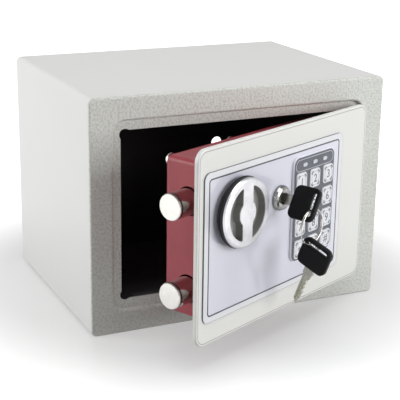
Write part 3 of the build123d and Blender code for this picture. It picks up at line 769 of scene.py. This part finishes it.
class Mesher:
    """One mesh that grows piece by piece, then becomes an object."""

    glyph_steps = 4
    glyph_weight = 0.012
    weld = 0.0001

    def __init__(self) -> None:
        """Starts an empty mesh."""
        self.bm = bmesh.new()

    def _loft(self, loops: Sequence[Sequence[bmesh.types.BMVert]]) -> None:
        """Joins each closed loop to the next one.

        Args:
            loops: Loops of as many corners each.
        """
        for first, second in zip(loops, loops[1:]):
            for i in range(len(first)):
                self.bm.faces.new((first[i - 1], first[i], second[i], second[i - 1]))

    def band(
        self, outer: Sequence[Point], inner: Sequence[Point], low: float, high: float, closed: bool = True
    ) -> None:
        """Adds a flat strip between two outlines of as many points.

        Args:
            outer: The outer line.
            inner: The inner line.
            low: Height of its underside over the face.
            high: Height of its top.
            closed: False leaves a gap between the last points and the first.
        """
        sections = [
            [self.bm.verts.new((*at, level)) for at, level in ((a, low), (a, high), (b, high), (b, low))]
            for a, b in zip(outer, inner)]
        if closed:
            sections.append(sections[0])
        else:
            self.bm.faces.new(sections[0])
            self.bm.faces.new(sections[-1])
        self._loft(sections)

    def glyph(self, character: str, size: float, low: float, high: float) -> None:
        """Adds one printed character, drawn with Blender's own font.

        Args:
            character: What is printed.
            size: Height of the font.
            low: Height of its underside over the face.
            high: Height of its top.
        """
        curve = bpy.data.curves.new("glyph", "FONT")
        curve.body = character
        curve.size = size
        curve.align_x = "CENTER"
        curve.align_y = "CENTER"
        curve.resolution_u = self.glyph_steps
        curve.offset = self.glyph_weight * size
        curve.extrude = (high - low) / 2
        holder = bpy.data.objects.new("glyph", curve)
        bpy.context.scene.collection.objects.link(holder)
        bpy.context.view_layer.update()
        mesh = bpy.data.meshes.new_from_object(holder)
        xs = [v.co.x for v in mesh.vertices]
        ys = [v.co.y for v in mesh.vertices]
        middle = Vector(((min(xs) + max(xs)) / 2, (min(ys) + max(ys)) / 2, -(low + high) / 2))
        mesh.transform(Matrix.Translation(-middle))
        self.bm.from_mesh(mesh)
        bpy.data.objects.remove(holder)
        bpy.data.curves.remove(curve)
        bpy.data.meshes.remove(mesh)

    def ring(self, profile: Sequence[Point], steps: int = 96) -> None:
        """Turns a closed section round the face's upright.

        Args:
            profile: Radius and height of each corner of the section.
            steps: Steps round the turn.
        """
        turn = [2 * pi * i / steps for i in range(steps)]
        circles = [
            [self.bm.verts.new((radius * cos(angle), radius * sin(angle), height)) for angle in turn]
            for radius, height in profile]
        self._loft(circles + circles[:1])

    def tube(self, path: Sequence[Vector], radius: float, sides: int = 12) -> None:
        """Adds a round wire along an open path, with flat ends.

        Args:
            path: Points of its centre line.
            radius: Radius of the wire.
            sides: Sides of its section.
        """
        turn = [2 * pi * k / sides for k in range(sides)]
        rings = []
        normal = None
        for i, point in enumerate(path):
            along = (path[min(i + 1, len(path) - 1)] - path[max(i - 1, 0)]).normalized()
            normal = along.orthogonal() if normal is None else normal - along * normal.dot(along)
            normal.normalize()
            side = along.cross(normal)
            rings.append([
                self.bm.verts.new(point + (normal * cos(angle) + side * sin(angle)) * radius)
                for angle in turn])
        self._loft(rings)
        self.bm.faces.new(rings[0])
        self.bm.faces.new(rings[-1])

    def soft_plate(
        self, outer: Callable[[float], list[Point]], hole: Callable[[float], list[Point]],
        half: float, edge: float, steps: int = 5
    ) -> None:
        """Adds a flat plate with one hole, its rims rounded from the walls to the flats.

        Args:
            outer: Gives the outline, drawn in by so many millimetres.
            hole: Gives the hole's outline, widened by so many millimetres.
            half: Half the plate's thickness.
            edge: Radius of the rims.
            steps: Steps across a rim.
        """
        turn = [pi / 2 * i / steps for i in range(steps + 1)]
        rim = [(edge * (1.0 - cos(angle)), half - edge * (1.0 - sin(angle))) for angle in turn]
        levels = [(inset, -height) for inset, height in reversed(rim)] + rim
        ends: dict[float, list[bmesh.types.BMEdge]] = {-half: [], half: []}
        for outline in (outer, hole):
            loops = [
                [self.bm.verts.new((x, y, height)) for x, y in outline(inset)] for inset, height in levels]
            self._loft(loops)
            for height, loop in ((-half, loops[0]), (half, loops[-1])):
                ends[height] += [self.bm.edges.get((loop[i - 1], loop[i])) for i in range(len(loop))]
        for edges in ends.values():
            bmesh.ops.triangle_fill(self.bm, edges=edges, use_beauty=True)

    def finish(
        self, name: str, place: Matrix, material: Material, body: str,
        crease: float = 35.0
    ) -> Object:
        """Makes the object and lets it ride on a body.

        Args:
            name: The piece's name.
            place: Carries its own millimetres to the frame.
            material: Its finish.
            body: The body that it moves with.
            crease: Edges sharper than this stay crisp, in degrees.

        Returns:
            The piece.
        """
        bmesh.ops.remove_doubles(self.bm, verts=self.bm.verts, dist=self.weld)
        bmesh.ops.recalc_face_normals(self.bm, faces=self.bm.faces)
        mesh = bpy.data.meshes.new(name)
        self.bm.to_mesh(mesh)
        self.bm.free()
        mesh.transform(place)
        mesh.polygons.foreach_set("use_smooth", [True] * len(mesh.polygons))
        mesh.set_sharp_from_angle(angle=radians(crease))
        mesh.materials.append(material)
        piece = bpy.data.objects.new(name, mesh)
        bpy.context.scene.collection.objects.link(piece)
        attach(piece, body)
        LOG.info("%s: %d faces on %s", name, len(mesh.polygons), body)
        return piece


def face_of_door(x: float, y: float, z: float) -> Matrix:
    """A plane on the door's front: across, up and outward from a place on the shut door."""
    turn = Matrix(((1, 0, 0, x), (0, 0, -1, y), (0, 1, 0, z), (0, 0, 0, 1)))
    return DOOR.matrix() @ turn


def dress(material: Material, *nodes: str) -> None:
    """Gives carried-over nodes their finish.

    Args:
        material: The finish.
        nodes: The nodes' names.
    """
    for name in nodes:
        for slot in frame["nodes"][name].material_slots:
            slot.material = material
        LOG.info("%s: %s", name, material.name)


@dataclass(frozen=True)
class Cabinet:
    """The painted steel cabinet: folded shell, pressed front, back, mat and hinge brackets."""

    # Each shade colour is mixed in at random and painted into the peel's pits as painted shade.
    paint: Colour = (0.73, 0.73, 0.715)
    paint_shade: Colour = (0.66, 0.66, 0.645)
    front: Colour = (0.72, 0.735, 0.70)
    front_shade: Colour = (0.47, 0.475, 0.43)
    lining: Colour = (0.06, 0.055, 0.057)
    lining_shade: Colour = (0.02, 0.02, 0.02)
    recess_y: float = -80.4
    zinc: Metal = Metal((0.72, 0.73, 0.74), (0.6, 0.6, 0.62), roughness=0.28)

    def build(self) -> None:
        """Dresses every cabinet node."""
        shell = PowderCoat(
            self.paint, self.paint_shade, grain=1.3, depth=0.012, roughness=0.4, inner=self.lining)
        pressed = PowderCoat(
            self.front, self.front_shade, grain=1.7, depth=0.5, roughness=0.44, pit_shade_share=0.46,
            inner=self.lining, behind=self.recess_y)
        dark = PowderCoat(self.lining, self.lining_shade, grain=1.0, depth=0.03, roughness=0.5)
        dress(shell.make("shell_paint", Space.CABINET), "cabinet_shell", "back_panel")
        dress(pressed.make("front_paint", Space.CABINET), "front_frame")
        dress(dark.make("bracket_paint", Space.CABINET), "lower_hinge_bracket", "upper_hinge_bracket")
        dress(Felt().make("mat_felt"), "floor_mat")
        dress(self.zinc.make("pin_zinc", Space.CABINET), "hinge_pins")


@dataclass(frozen=True)
class Door:
    """The flush plate, the raspberry housing behind it and all that is fixed to both."""

    plate: Colour = (0.79, 0.79, 0.765)
    plate_shade: Colour = (0.74, 0.74, 0.715)
    outline: Plan = (-96.5, 95.2, 18.9, 151.1)
    housing: Enamel = Enamel((0.34, 0.055, 0.07), (0.29, 0.045, 0.058))
    zinc: Metal = Metal((0.58, 0.58, 0.56), (0.44, 0.44, 0.43), roughness=0.26, haze=0.14)
    moulding: Plastic = Plastic((0.018, 0.018, 0.02), (0.03, 0.03, 0.032), roughness=0.5)
    wrapper: Plastic = Plastic(
        (0.16, 0.19, 0.24), (0.12, 0.14, 0.18), roughness=0.25, grain=0.6, depth=0.0, coat=0.4)
    contact: Metal = Metal((0.8, 0.78, 0.72), (0.7, 0.68, 0.62), roughness=0.22)
    brass: Metal = Metal((0.78, 0.6, 0.3), (0.7, 0.52, 0.24), roughness=0.25)
    button: Plastic = Plastic(
        (0.6, 0.03, 0.025), (0.5, 0.02, 0.02), roughness=0.3, grain=0.5, depth=0.01, coat=0.3)

    def build(self) -> None:
        """Dresses the door's nodes."""
        # The plate's paint draws painted shade along its pressed rim.
        plate = PowderCoat(
            self.plate, self.plate_shade, grain=1.6, depth=0.012, roughness=0.36, rim=self.outline)
        dress(plate.make("plate_paint", Space.DOOR), "door_plate")
        dress(self.housing.make("raspberry_enamel"), "lock_housing", "mechanism_cover")
        dress(
            self.zinc.make("zinc_plate"), "cover_screws", "lower_hinge_arm", "upper_hinge_arm", "solenoid",
            "solenoid_plunger", "bolt_guide", "bolt_bar", "bolt_crank", "knob_shaft", "lock_cam")
        dress(self.moulding.make("black_moulding"), "battery_tray", "battery_cover", "board_posts")
        dress(self.wrapper.make("cell_wrapper"), "batteries")
        dress(self.contact.make("contact_nickel"), "battery_contacts", "plunger_spring")
        dress(CircuitBoard().make("green_board"), "keypad_board", "control_board")
        dress(self.brass.make("turned_brass"), "knob_bushing")
        dress(self.button.make("red_button"), "reset_button")
        dress(BoltChrome().make("bolt_chrome"), "upper_bolt", "lower_bolt")


@dataclass(frozen=True)
class Fascia:
    """The glossy lilac film on the plate with its printed border line."""

    plan: Plan = (-91.0, 63.0, 34.4, 135.6)
    corner: float = 5.0
    front: float = -86.0
    line_inset: float = 4.1
    line_width: float = 1.0
    line_corner: float = 2.8
    ink_height: float = 0.05
    ground: Colour = (0.665, 0.67, 0.76)
    # Colour of the film's painted sheen, lighter streaks that stand in for reflected light.
    light: Colour = (0.73, 0.735, 0.82)
    border: Colour = (0.76, 0.77, 0.80)
    # Painted shade along the film's rim, for the gap round its edge.
    edge: Colour = (0.12, 0.12, 0.13)
    ink: Plastic = Plastic((0.022, 0.022, 0.028), (0.08, 0.08, 0.1), roughness=0.35, grain=0.5, depth=0.002)

    def build(self) -> None:
        """Dresses the film and prints its line."""
        film = Film(
            self.ground, self.light, self.edge, self.plan, self.corner, self.front,
            painted_sheen_size=38.0, roughness=0.2, coat=0.4,
            border=self.border, border_width=self.line_inset + self.line_width / 2)
        dress(film.make("lilac_film"), "fascia")
        left, right, bottom, top = self.plan
        width = right - left - 2 * self.line_inset
        height = top - bottom - 2 * self.line_inset
        inner_corner = self.line_corner - self.line_width
        line = Mesher()
        line.band(
            Outline.rectangle(width, height, self.line_corner),
            Outline.rectangle(width - 2 * self.line_width, height - 2 * self.line_width, inner_corner),
            0.0, self.ink_height)
        middle = face_of_door((left + right) / 2, self.front, (bottom + top) / 2)
        line.finish("fascia_border_line", middle, self.ink.make("border_ink"), "door")


@dataclass(frozen=True)
class Keypad:
    """The slate surround with its lamp window, and twelve printed keys."""

    plan: Plan = (1.5, 50.5, 52.4, 127.6)
    corner: float = 6.0
    front: float = -88.0
    key_front: float = -89.0
    key_width: float = 12.0
    key_height: float = 13.4
    pitch_x: float = 16.0
    pitch_z: float = 16.2
    top_row_z: float = 109.6
    lens_z: float = 121.4
    window: Point = (45.0, 8.6)
    window_line: float = 0.4
    oval: Point = (8.8, 10.2)
    oval_line: float = 0.175
    mark_inset: float = 1.0
    mark_radius: float = 2.0
    mark_width: float = 1.0
    mark_swell: float = 0.05
    mark_steps: int = 6
    digit: float = 8.4
    ink_height: float = 0.05
    nodes: tuple[str, ...] = (*"123456789", "star", "0", "hash")
    prints: str = "123456789*0#"
    slate: Colour = (0.078, 0.085, 0.105)
    # Colour of the slate's painted sheen, lighter streaks that stand in for reflected light.
    slate_light: Colour = (0.10, 0.108, 0.13)
    # Painted light: the bezel's sides are painted pale like the fascia, to lift their shade.
    side: Colour = (0.80, 0.80, 0.87)
    lens: Plastic = Plastic(
        (0.56, 0.58, 0.63), (0.66, 0.68, 0.73), roughness=0.3, grain=1.2, depth=0.0, coat=0.2)
    cap: Plastic = Plastic(
        (0.76, 0.77, 0.81), (0.82, 0.83, 0.87), roughness=0.32, grain=0.5, depth=0.01, coat=0.1)
    pale_ink: Plastic = Plastic(
        (0.62, 0.64, 0.7), (0.55, 0.57, 0.63), roughness=0.35, grain=0.5, depth=0.002)
    key_ink: Plastic = Plastic(
        (0.17, 0.178, 0.205), (0.22, 0.23, 0.255), roughness=0.45, grain=0.5, depth=0.002)

    def build(self) -> None:
        """Dresses the surround, the lenses and the keys, and prints them."""
        film = Film(
            self.slate, self.slate_light, self.slate, self.plan, self.corner, self.front,
            painted_sheen_size=26.0, roughness=0.4, coat=0.0, side=self.side)
        dress(film.make("slate_film"), "keypad_bezel")
        dress(self.lens.make("milky_lens"), "indicator_lenses")
        dress(self.cap.make("key_plastic"), *["key_" + name for name in self.nodes])
        self._window()
        ink = self.key_ink.make("key_ink")
        for index, (name, character) in enumerate(zip(self.nodes, self.prints)):
            self._print_key(index, name, character, ink)

    def _window(self) -> None:
        """Prints the pale line round the lamps."""
        width, height = self.window
        inner_width = width - 2 * self.window_line
        inner_height = height - 2 * self.window_line
        line = Mesher()
        line.band(
            Outline.rectangle(width, height, height / 2),
            Outline.rectangle(inner_width, inner_height, inner_height / 2), 0.0, self.ink_height)
        place = face_of_door((self.plan[0] + self.plan[1]) / 2, self.front, self.lens_z)
        line.finish("lamp_window_line", place, self.pale_ink.make("window_ink"), "door")

    def _print_key(self, index: int, name: str, character: str, ink: Material) -> None:
        """Prints one key: its character, the oval round it and four corner marks.

        Args:
            index: Which key, row by row.
            name: The key's name in the frame.
            character: What it says.
            ink: The finish of the print.
        """
        x = (self.plan[0] + self.plan[1]) / 2 + (index % 3 - 1) * self.pitch_x
        z = self.top_row_z - (index // 3) * self.pitch_z
        width, height = self.oval
        line = 2 * self.oval_line
        mark = Mesher()
        mark.band(
            Outline.ellipse(width, height), Outline.ellipse(width - line, height - line),
            0.0, self.ink_height)
        for quarter, (side, level) in enumerate(QUARTERS):
            arcs = []
            for inset, radius in (
                    (self.mark_radius, self.mark_radius),
                    (self.mark_radius + self.mark_width, self.mark_radius + self.mark_swell)):
                across = side * (self.key_width / 2 - self.mark_inset - inset)
                upward = level * (self.key_height / 2 - self.mark_inset - inset)
                start = quarter * pi / 2
                arcs.append(Outline.arc(across, upward, radius, start, start + pi / 2, self.mark_steps))
            mark.band(*arcs, 0.0, self.ink_height, closed=False)
        mark.glyph(character, self.digit, 0.0, self.ink_height)
        place = face_of_door(x, self.key_front, z)
        mark.finish("key_" + name + "_print", place, ink, "button_" + name)


@dataclass(frozen=True)
class Knob:
    """The satin knob on its black collar."""

    axis: Point = (-58.0, 104.5)
    front: float = -95.0
    fascia_front: float = -86.0
    collar_foot: float = 0.35
    collar_top: float = 4.6
    collar_radius: float = 24.0
    foot_radius: float = 20.9
    bore: float = 20.2
    land: float = 0.8
    shoulder: float = 0.6
    black: Plastic = Plastic(
        (0.008, 0.008, 0.009), (0.014, 0.014, 0.015), roughness=0.4, grain=0.5, depth=0.01, gloss=0.3)

    def build(self) -> None:
        """Dresses the cap and turns the collar, which draws in towards the film."""
        dress(KnobSilver(self.axis, self.front).make("knob_silver"), "knob_cap")
        edge = self.collar_top - self.land
        collar = Mesher()
        collar.ring([
            (self.bore, self.collar_foot), (self.foot_radius, self.collar_foot),
            (self.collar_radius - self.shoulder, edge - self.shoulder), (self.collar_radius, edge),
            (self.collar_radius, self.collar_top), (self.bore, self.collar_top)])
        place = face_of_door(self.axis[0], self.fascia_front, self.axis[1])
        black = self.black.make("collar_black")
        piece = collar.finish("knob_collar_turned", place, black, "knob")
        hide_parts("knob_collar")


@dataclass(frozen=True)
class LockAndKeys:
    """The cam lock, the key in it, the split ring and the spare key."""

    lock_x: float = -11.5
    lock_z: float = 103.0
    bow_near: float = -96.4
    bow_width: float = 23.5
    bow_length: float = 20.5
    bow_thick: float = 4.0
    bow_corner: float = 4.6
    bow_edge: float = 1.05
    slot_length: float = 17.0
    slot_width: float = 2.9
    slot_v: float = 16.3
    slot_flat: float = 0.01
    key_turn: float = radians(30.0)
    ring_radius: float = 12.0
    wire_radius: float = 0.48
    wire_overlap: float = 0.02
    ring_u: float = -3.6
    ring_pass: float = radians(100.0)
    ring_start: float = radians(200.0)
    ring_gap: float = radians(24.0)
    ring_jog: float = radians(34.0)
    ring_steps: int = 180
    spare_tilt: float = radians(20.8)
    spare_u: float = -6.3
    spare_play: float = 0.2
    # Chrome darkened well below its own brightness: painted shade, for the dark reflections round the lock.
    chrome: Metal = Metal((0.34, 0.34, 0.33), (0.2, 0.2, 0.2), roughness=0.17, haze=0.03, depth=0.0)
    # Near-black metal on the plug: painted shade for its dark keyway.
    plug: Metal = Metal((0.09, 0.09, 0.085), (0.05, 0.05, 0.05), roughness=0.2, haze=0.05)
    nickel: Metal = Metal(
        (0.47, 0.46, 0.40), (0.34, 0.33, 0.28), roughness=0.24, haze=0.16, brush=(0.3, 2.0, 2.0), depth=0.01)
    wire: Metal = Metal((0.6, 0.59, 0.56), (0.48, 0.47, 0.45), roughness=0.12, haze=0.06)
    black: Plastic = Plastic(
        (0.004, 0.004, 0.0045), (0.007, 0.007, 0.008), roughness=0.45, grain=0.45, depth=0.012, gloss=0.13)

    def build(self) -> None:
        """Dresses the lock and makes the bows and the ring."""
        dress(self.chrome.make("lock_chrome"), "lock_barrel", "lock_nut")
        dress(self.plug.make("plug_shade"), "lock_plug")
        dress(self.nickel.make("key_nickel"), "key_blade", "spare_key_blade")
        black = self.black.make("bow_plastic")
        self._bow("key_bow_moulding", self._front_plane(), black, "lock", "key_bow")
        self._bow("spare_key_bow_moulding", self._spare_plane(), black, "spare_key", "spare_key_bow")
        self._ring()

    @staticmethod
    def _plane(origin: Vector, across: Vector, outward: Vector) -> Matrix:
        """A key's plane, from a point and two directions: across its bow, from blade to bow, and out."""
        columns = Matrix((across, outward.cross(across), outward)).transposed().to_4x4()
        return Matrix.Translation(origin) @ columns

    def _front_plane(self) -> Matrix:
        """Lays out the key in the lock.

        Returns:
            Its plane on the shut door.
        """
        across = Vector((sin(self.key_turn), 0.0, cos(self.key_turn)))
        outward = Vector((cos(self.key_turn), 0.0, -sin(self.key_turn)))
        return self._plane(Vector((self.lock_x, self.bow_near, self.lock_z)), across, outward)

    def _ring_centre(self) -> Vector:
        """Finds the middle of the ring, which hangs in the slot of the key in the lock.

        Returns:
            The middle on the shut door.
        """
        x = self.lock_x + self.ring_u * sin(self.key_turn) - self.ring_radius * cos(self.ring_pass)
        z = self.lock_z + self.ring_u * cos(self.key_turn) - self.ring_radius * sin(self.ring_pass)
        return Vector((x, self.bow_near - self.slot_v, z))

    def _spare_plane(self) -> Matrix:
        """Lays out the spare key, which hangs from the bottom of the ring.

        Returns:
            Its plane on the shut door.
        """
        along = Vector((0.0, -sin(self.spare_tilt), cos(self.spare_tilt)))
        across = Vector((0.0, -cos(self.spare_tilt), -sin(self.spare_tilt)))
        low = self._ring_centre() - Vector((0.0, 0.0, self.ring_radius))
        origin = low - along * (self.slot_v + self.spare_play) - across * self.spare_u
        return self._plane(origin, across, Vector((-1.0, 0.0, 0.0)))

    def _head(self, inset: float) -> list[Point]:
        """Outlines a bow.

        Args:
            inset: How far the outline is drawn in.

        Returns:
            The outline, from the blade's end.
        """
        box = Outline.rectangle(
            self.bow_width - 2 * inset, self.bow_length - 2 * inset, self.bow_corner - inset, steps=10)
        return [(x, y + self.bow_length / 2) for x, y in box]

    def _slot(self, inset: float) -> list[Point]:
        """Outlines a bow's slot, whose ends are round but for a short flat.

        Args:
            inset: How far the outline is widened.

        Returns:
            The outline, from the blade's end.
        """
        width = self.slot_width + 2 * inset
        box = Outline.rectangle(self.slot_length + 2 * inset, width, width / 2 - self.slot_flat)
        return [(x, y + self.slot_v) for x, y in box]

    def _bow(self, name: str, plane: Matrix, plastic: Material, body: str, node: str) -> None:
        """Makes one key's moulded head with soft rims.

        Args:
            name: The piece's name.
            plane: Where the key lies on the shut door.
            plastic: Its finish.
            body: The body that it moves with.
            node: The solid that it stands for.
        """
        bow = Mesher()
        bow.soft_plate(self._head, self._slot, self.bow_thick / 2, self.bow_edge)
        piece = bow.finish(name, DOOR.matrix() @ plane, plastic, body, crease=50.0)
        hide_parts(node)

    def _ring(self) -> None:
        """Winds the split ring: two turns of round wire that step across at one place."""
        centre = self._ring_centre()
        path = []
        for i in range(self.ring_steps + 1):
            turned = self.ring_gap + (4 * pi - 2 * self.ring_gap) * i / self.ring_steps
            share = min(max((turned - 2 * pi) / self.ring_jog + 0.5, 0.0), 1.0)
            step = share * share * (3 - 2 * share)
            depth = (2 * step - 1) * (self.wire_radius - self.wire_overlap)
            angle = self.ring_start + turned
            spoke = Vector((self.ring_radius * cos(angle), depth, self.ring_radius * sin(angle)))
            path.append(centre + spoke)
        winding = Mesher()
        winding.tube(path, self.wire_radius)
        piece = winding.finish(
            "split_ring", DOOR.matrix(), self.wire.make("ring_nickel"), "ring", crease=60.0)
        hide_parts("key_ring")


@dataclass(frozen=True)
class Lamp:
    """One soft box, in metres and watts."""

    name: str
    place: tuple[float, float, float]
    size: tuple[float, float]
    power: float

    def hang(self, aim: Vector) -> None:
        """Makes the lamp.

        Args:
            aim: The point that it is turned to.
        """
        light = bpy.data.lights.new(self.name, "AREA")
        light.shape = "RECTANGLE"
        light.size, light.size_y = self.size
        light.energy = self.power
        lamp = bpy.data.objects.new(self.name, light)
        lamp.location = self.place
        lamp.rotation_euler = (aim - Vector(self.place)).to_track_quat("-Z", "Y").to_euler()
        bpy.context.scene.collection.objects.link(lamp)


@dataclass(frozen=True)
class Studio:
    """Camera, soft boxes, pale floor and surrounding light. Its places and sizes are metres."""

    azimuth: float = radians(-24.987)
    elevation: float = radians(17.146)
    roll: float = radians(0.857)
    eye: tuple[float, float, float] = (-0.3546, -0.7744, 0.3260)
    lens: float = 101.66
    sensor: float = 36.0
    clip_start: float = 0.01
    clip_end: float = 50.0
    aim: tuple[float, float, float] = (0.0, 0.0, 0.085)
    floor_half: float = 6.0
    floor_colour: Colour = (0.45, 0.45, 0.45)
    floor_glow: float = 0.35
    # The glow is least within glow_near and full by glow_far, which paints the floor darker round the safe:
    # painted shade.
    glow_near: float = 0.14
    glow_far: float = 0.3
    ambient: float = 0.14
    overhead: float = 0.35
    dome_low: float = 0.25
    dome_high: float = 0.85
    lamps: tuple[Lamp, ...] = (
        Lamp("top_box", (0.0, -0.3, 1.5), (1.0, 1.0), 11.0),
        Lamp("left_box", (-1.5, 0.55, 0.55), (0.9, 1.1), 18.0),
        Lamp("right_box", (0.85, -1.15, 0.45), (0.9, 0.6), 12.5),
    )

    def build(self) -> None:
        """Sets the camera, the lamps, the floor and the world."""
        self._camera()
        for lamp in self.lamps:
            lamp.hang(Vector(self.aim))
        self._floor()
        self._world()
        bpy.context.scene.view_settings.view_transform = "Standard"

    def _camera(self) -> None:
        """Puts the camera where the photograph was taken from."""
        level = cos(self.elevation)
        back = Vector((sin(self.azimuth) * level, -cos(self.azimuth) * level, sin(self.elevation)))
        right = Vector((0.0, 0.0, 1.0)).cross(back).normalized()
        upward = back.cross(right)
        turned_right = right * cos(self.roll) + upward * sin(self.roll)
        turned_up = upward * cos(self.roll) - right * sin(self.roll)
        data = bpy.data.cameras.new("camera")
        data.sensor_fit = "HORIZONTAL"
        data.sensor_width = self.sensor
        data.lens = self.lens
        data.clip_start = self.clip_start
        data.clip_end = self.clip_end
        camera = bpy.data.objects.new("camera", data)
        camera.matrix_world = Matrix.Translation(self.eye) @ Matrix(
            (turned_right, turned_up, back)).transposed().to_4x4()
        bpy.context.scene.collection.objects.link(camera)
        bpy.context.scene.camera = camera

    def _floor(self) -> None:
        """Lays the pale floor, which keeps the safe's shadow, with painted shade near the safe, and glows to
        white further out.
        """
        graph = Surface("pale_floor", Space.CABINET)
        x, y, _ = graph.axes()
        # Painted shade: the glow is weaker near the safe, so the floor there is darker.
        reach = (x * x + y * y).root().ramp(self.glow_near / MM, self.glow_far / MM)
        glow = graph.seen() * (reach * (1.0 - self.floor_glow) + self.floor_glow)
        paint = graph.principled({
            "Base Color": self.floor_colour, "Roughness": 0.35, "Specular IOR Level": 0.3,
            "Emission Color": graph.mix(glow, BLACK, WHITE), "Emission Strength": 1.0})
        half = self.floor_half
        corners = [(side * half, level * half, 0.0) for side, level in QUARTERS]
        sheet = bpy.data.meshes.new("floor")
        sheet.from_pydata(corners, [], [(0, 1, 2, 3)])
        sheet.materials.append(paint)
        floor = bpy.data.objects.new("floor", sheet)
        bpy.context.scene.collection.objects.link(floor)

    def _world(self) -> None:
        """Lights the scene evenly, and shows white round about, darker overhead."""
        world = bpy.data.worlds.new("studio")
        world.use_nodes = True
        bpy.context.scene.world = world
        graph = Graph(world.node_tree)
        direction = graph.add("ShaderNodeTexCoord").outputs["Generated"]
        split = graph.add("ShaderNodeSeparateXYZ", None, {0: direction})
        dome = graph.add("ShaderNodeMapRange", None, {
            "Value": split.outputs[2], "From Min": self.dome_low, "From Max": self.dome_high,
            "To Min": 1.0, "To Max": self.overhead})
        level = graph.seen() * (Wire(graph, dome.outputs["Result"]) - self.ambient) + self.ambient
        light = graph.add("ShaderNodeBackground", None, {"Color": WHITE, "Strength": level})
        graph.add("ShaderNodeOutputWorld", None, {"Surface": light.outputs[0]})


def main() -> None:
    """Builds the studio, then dresses each sub-assembly in turn."""
    logging.basicConfig(level=logging.INFO, format="%(message)s")
    for part in (Studio(), Cabinet(), Door(), Fascia(), Keypad(), Knob(), LockAndKeys()):
        LOG.info("building %s", type(part).__name__)
        part.build()


if __name__ == "__main__":
    main()
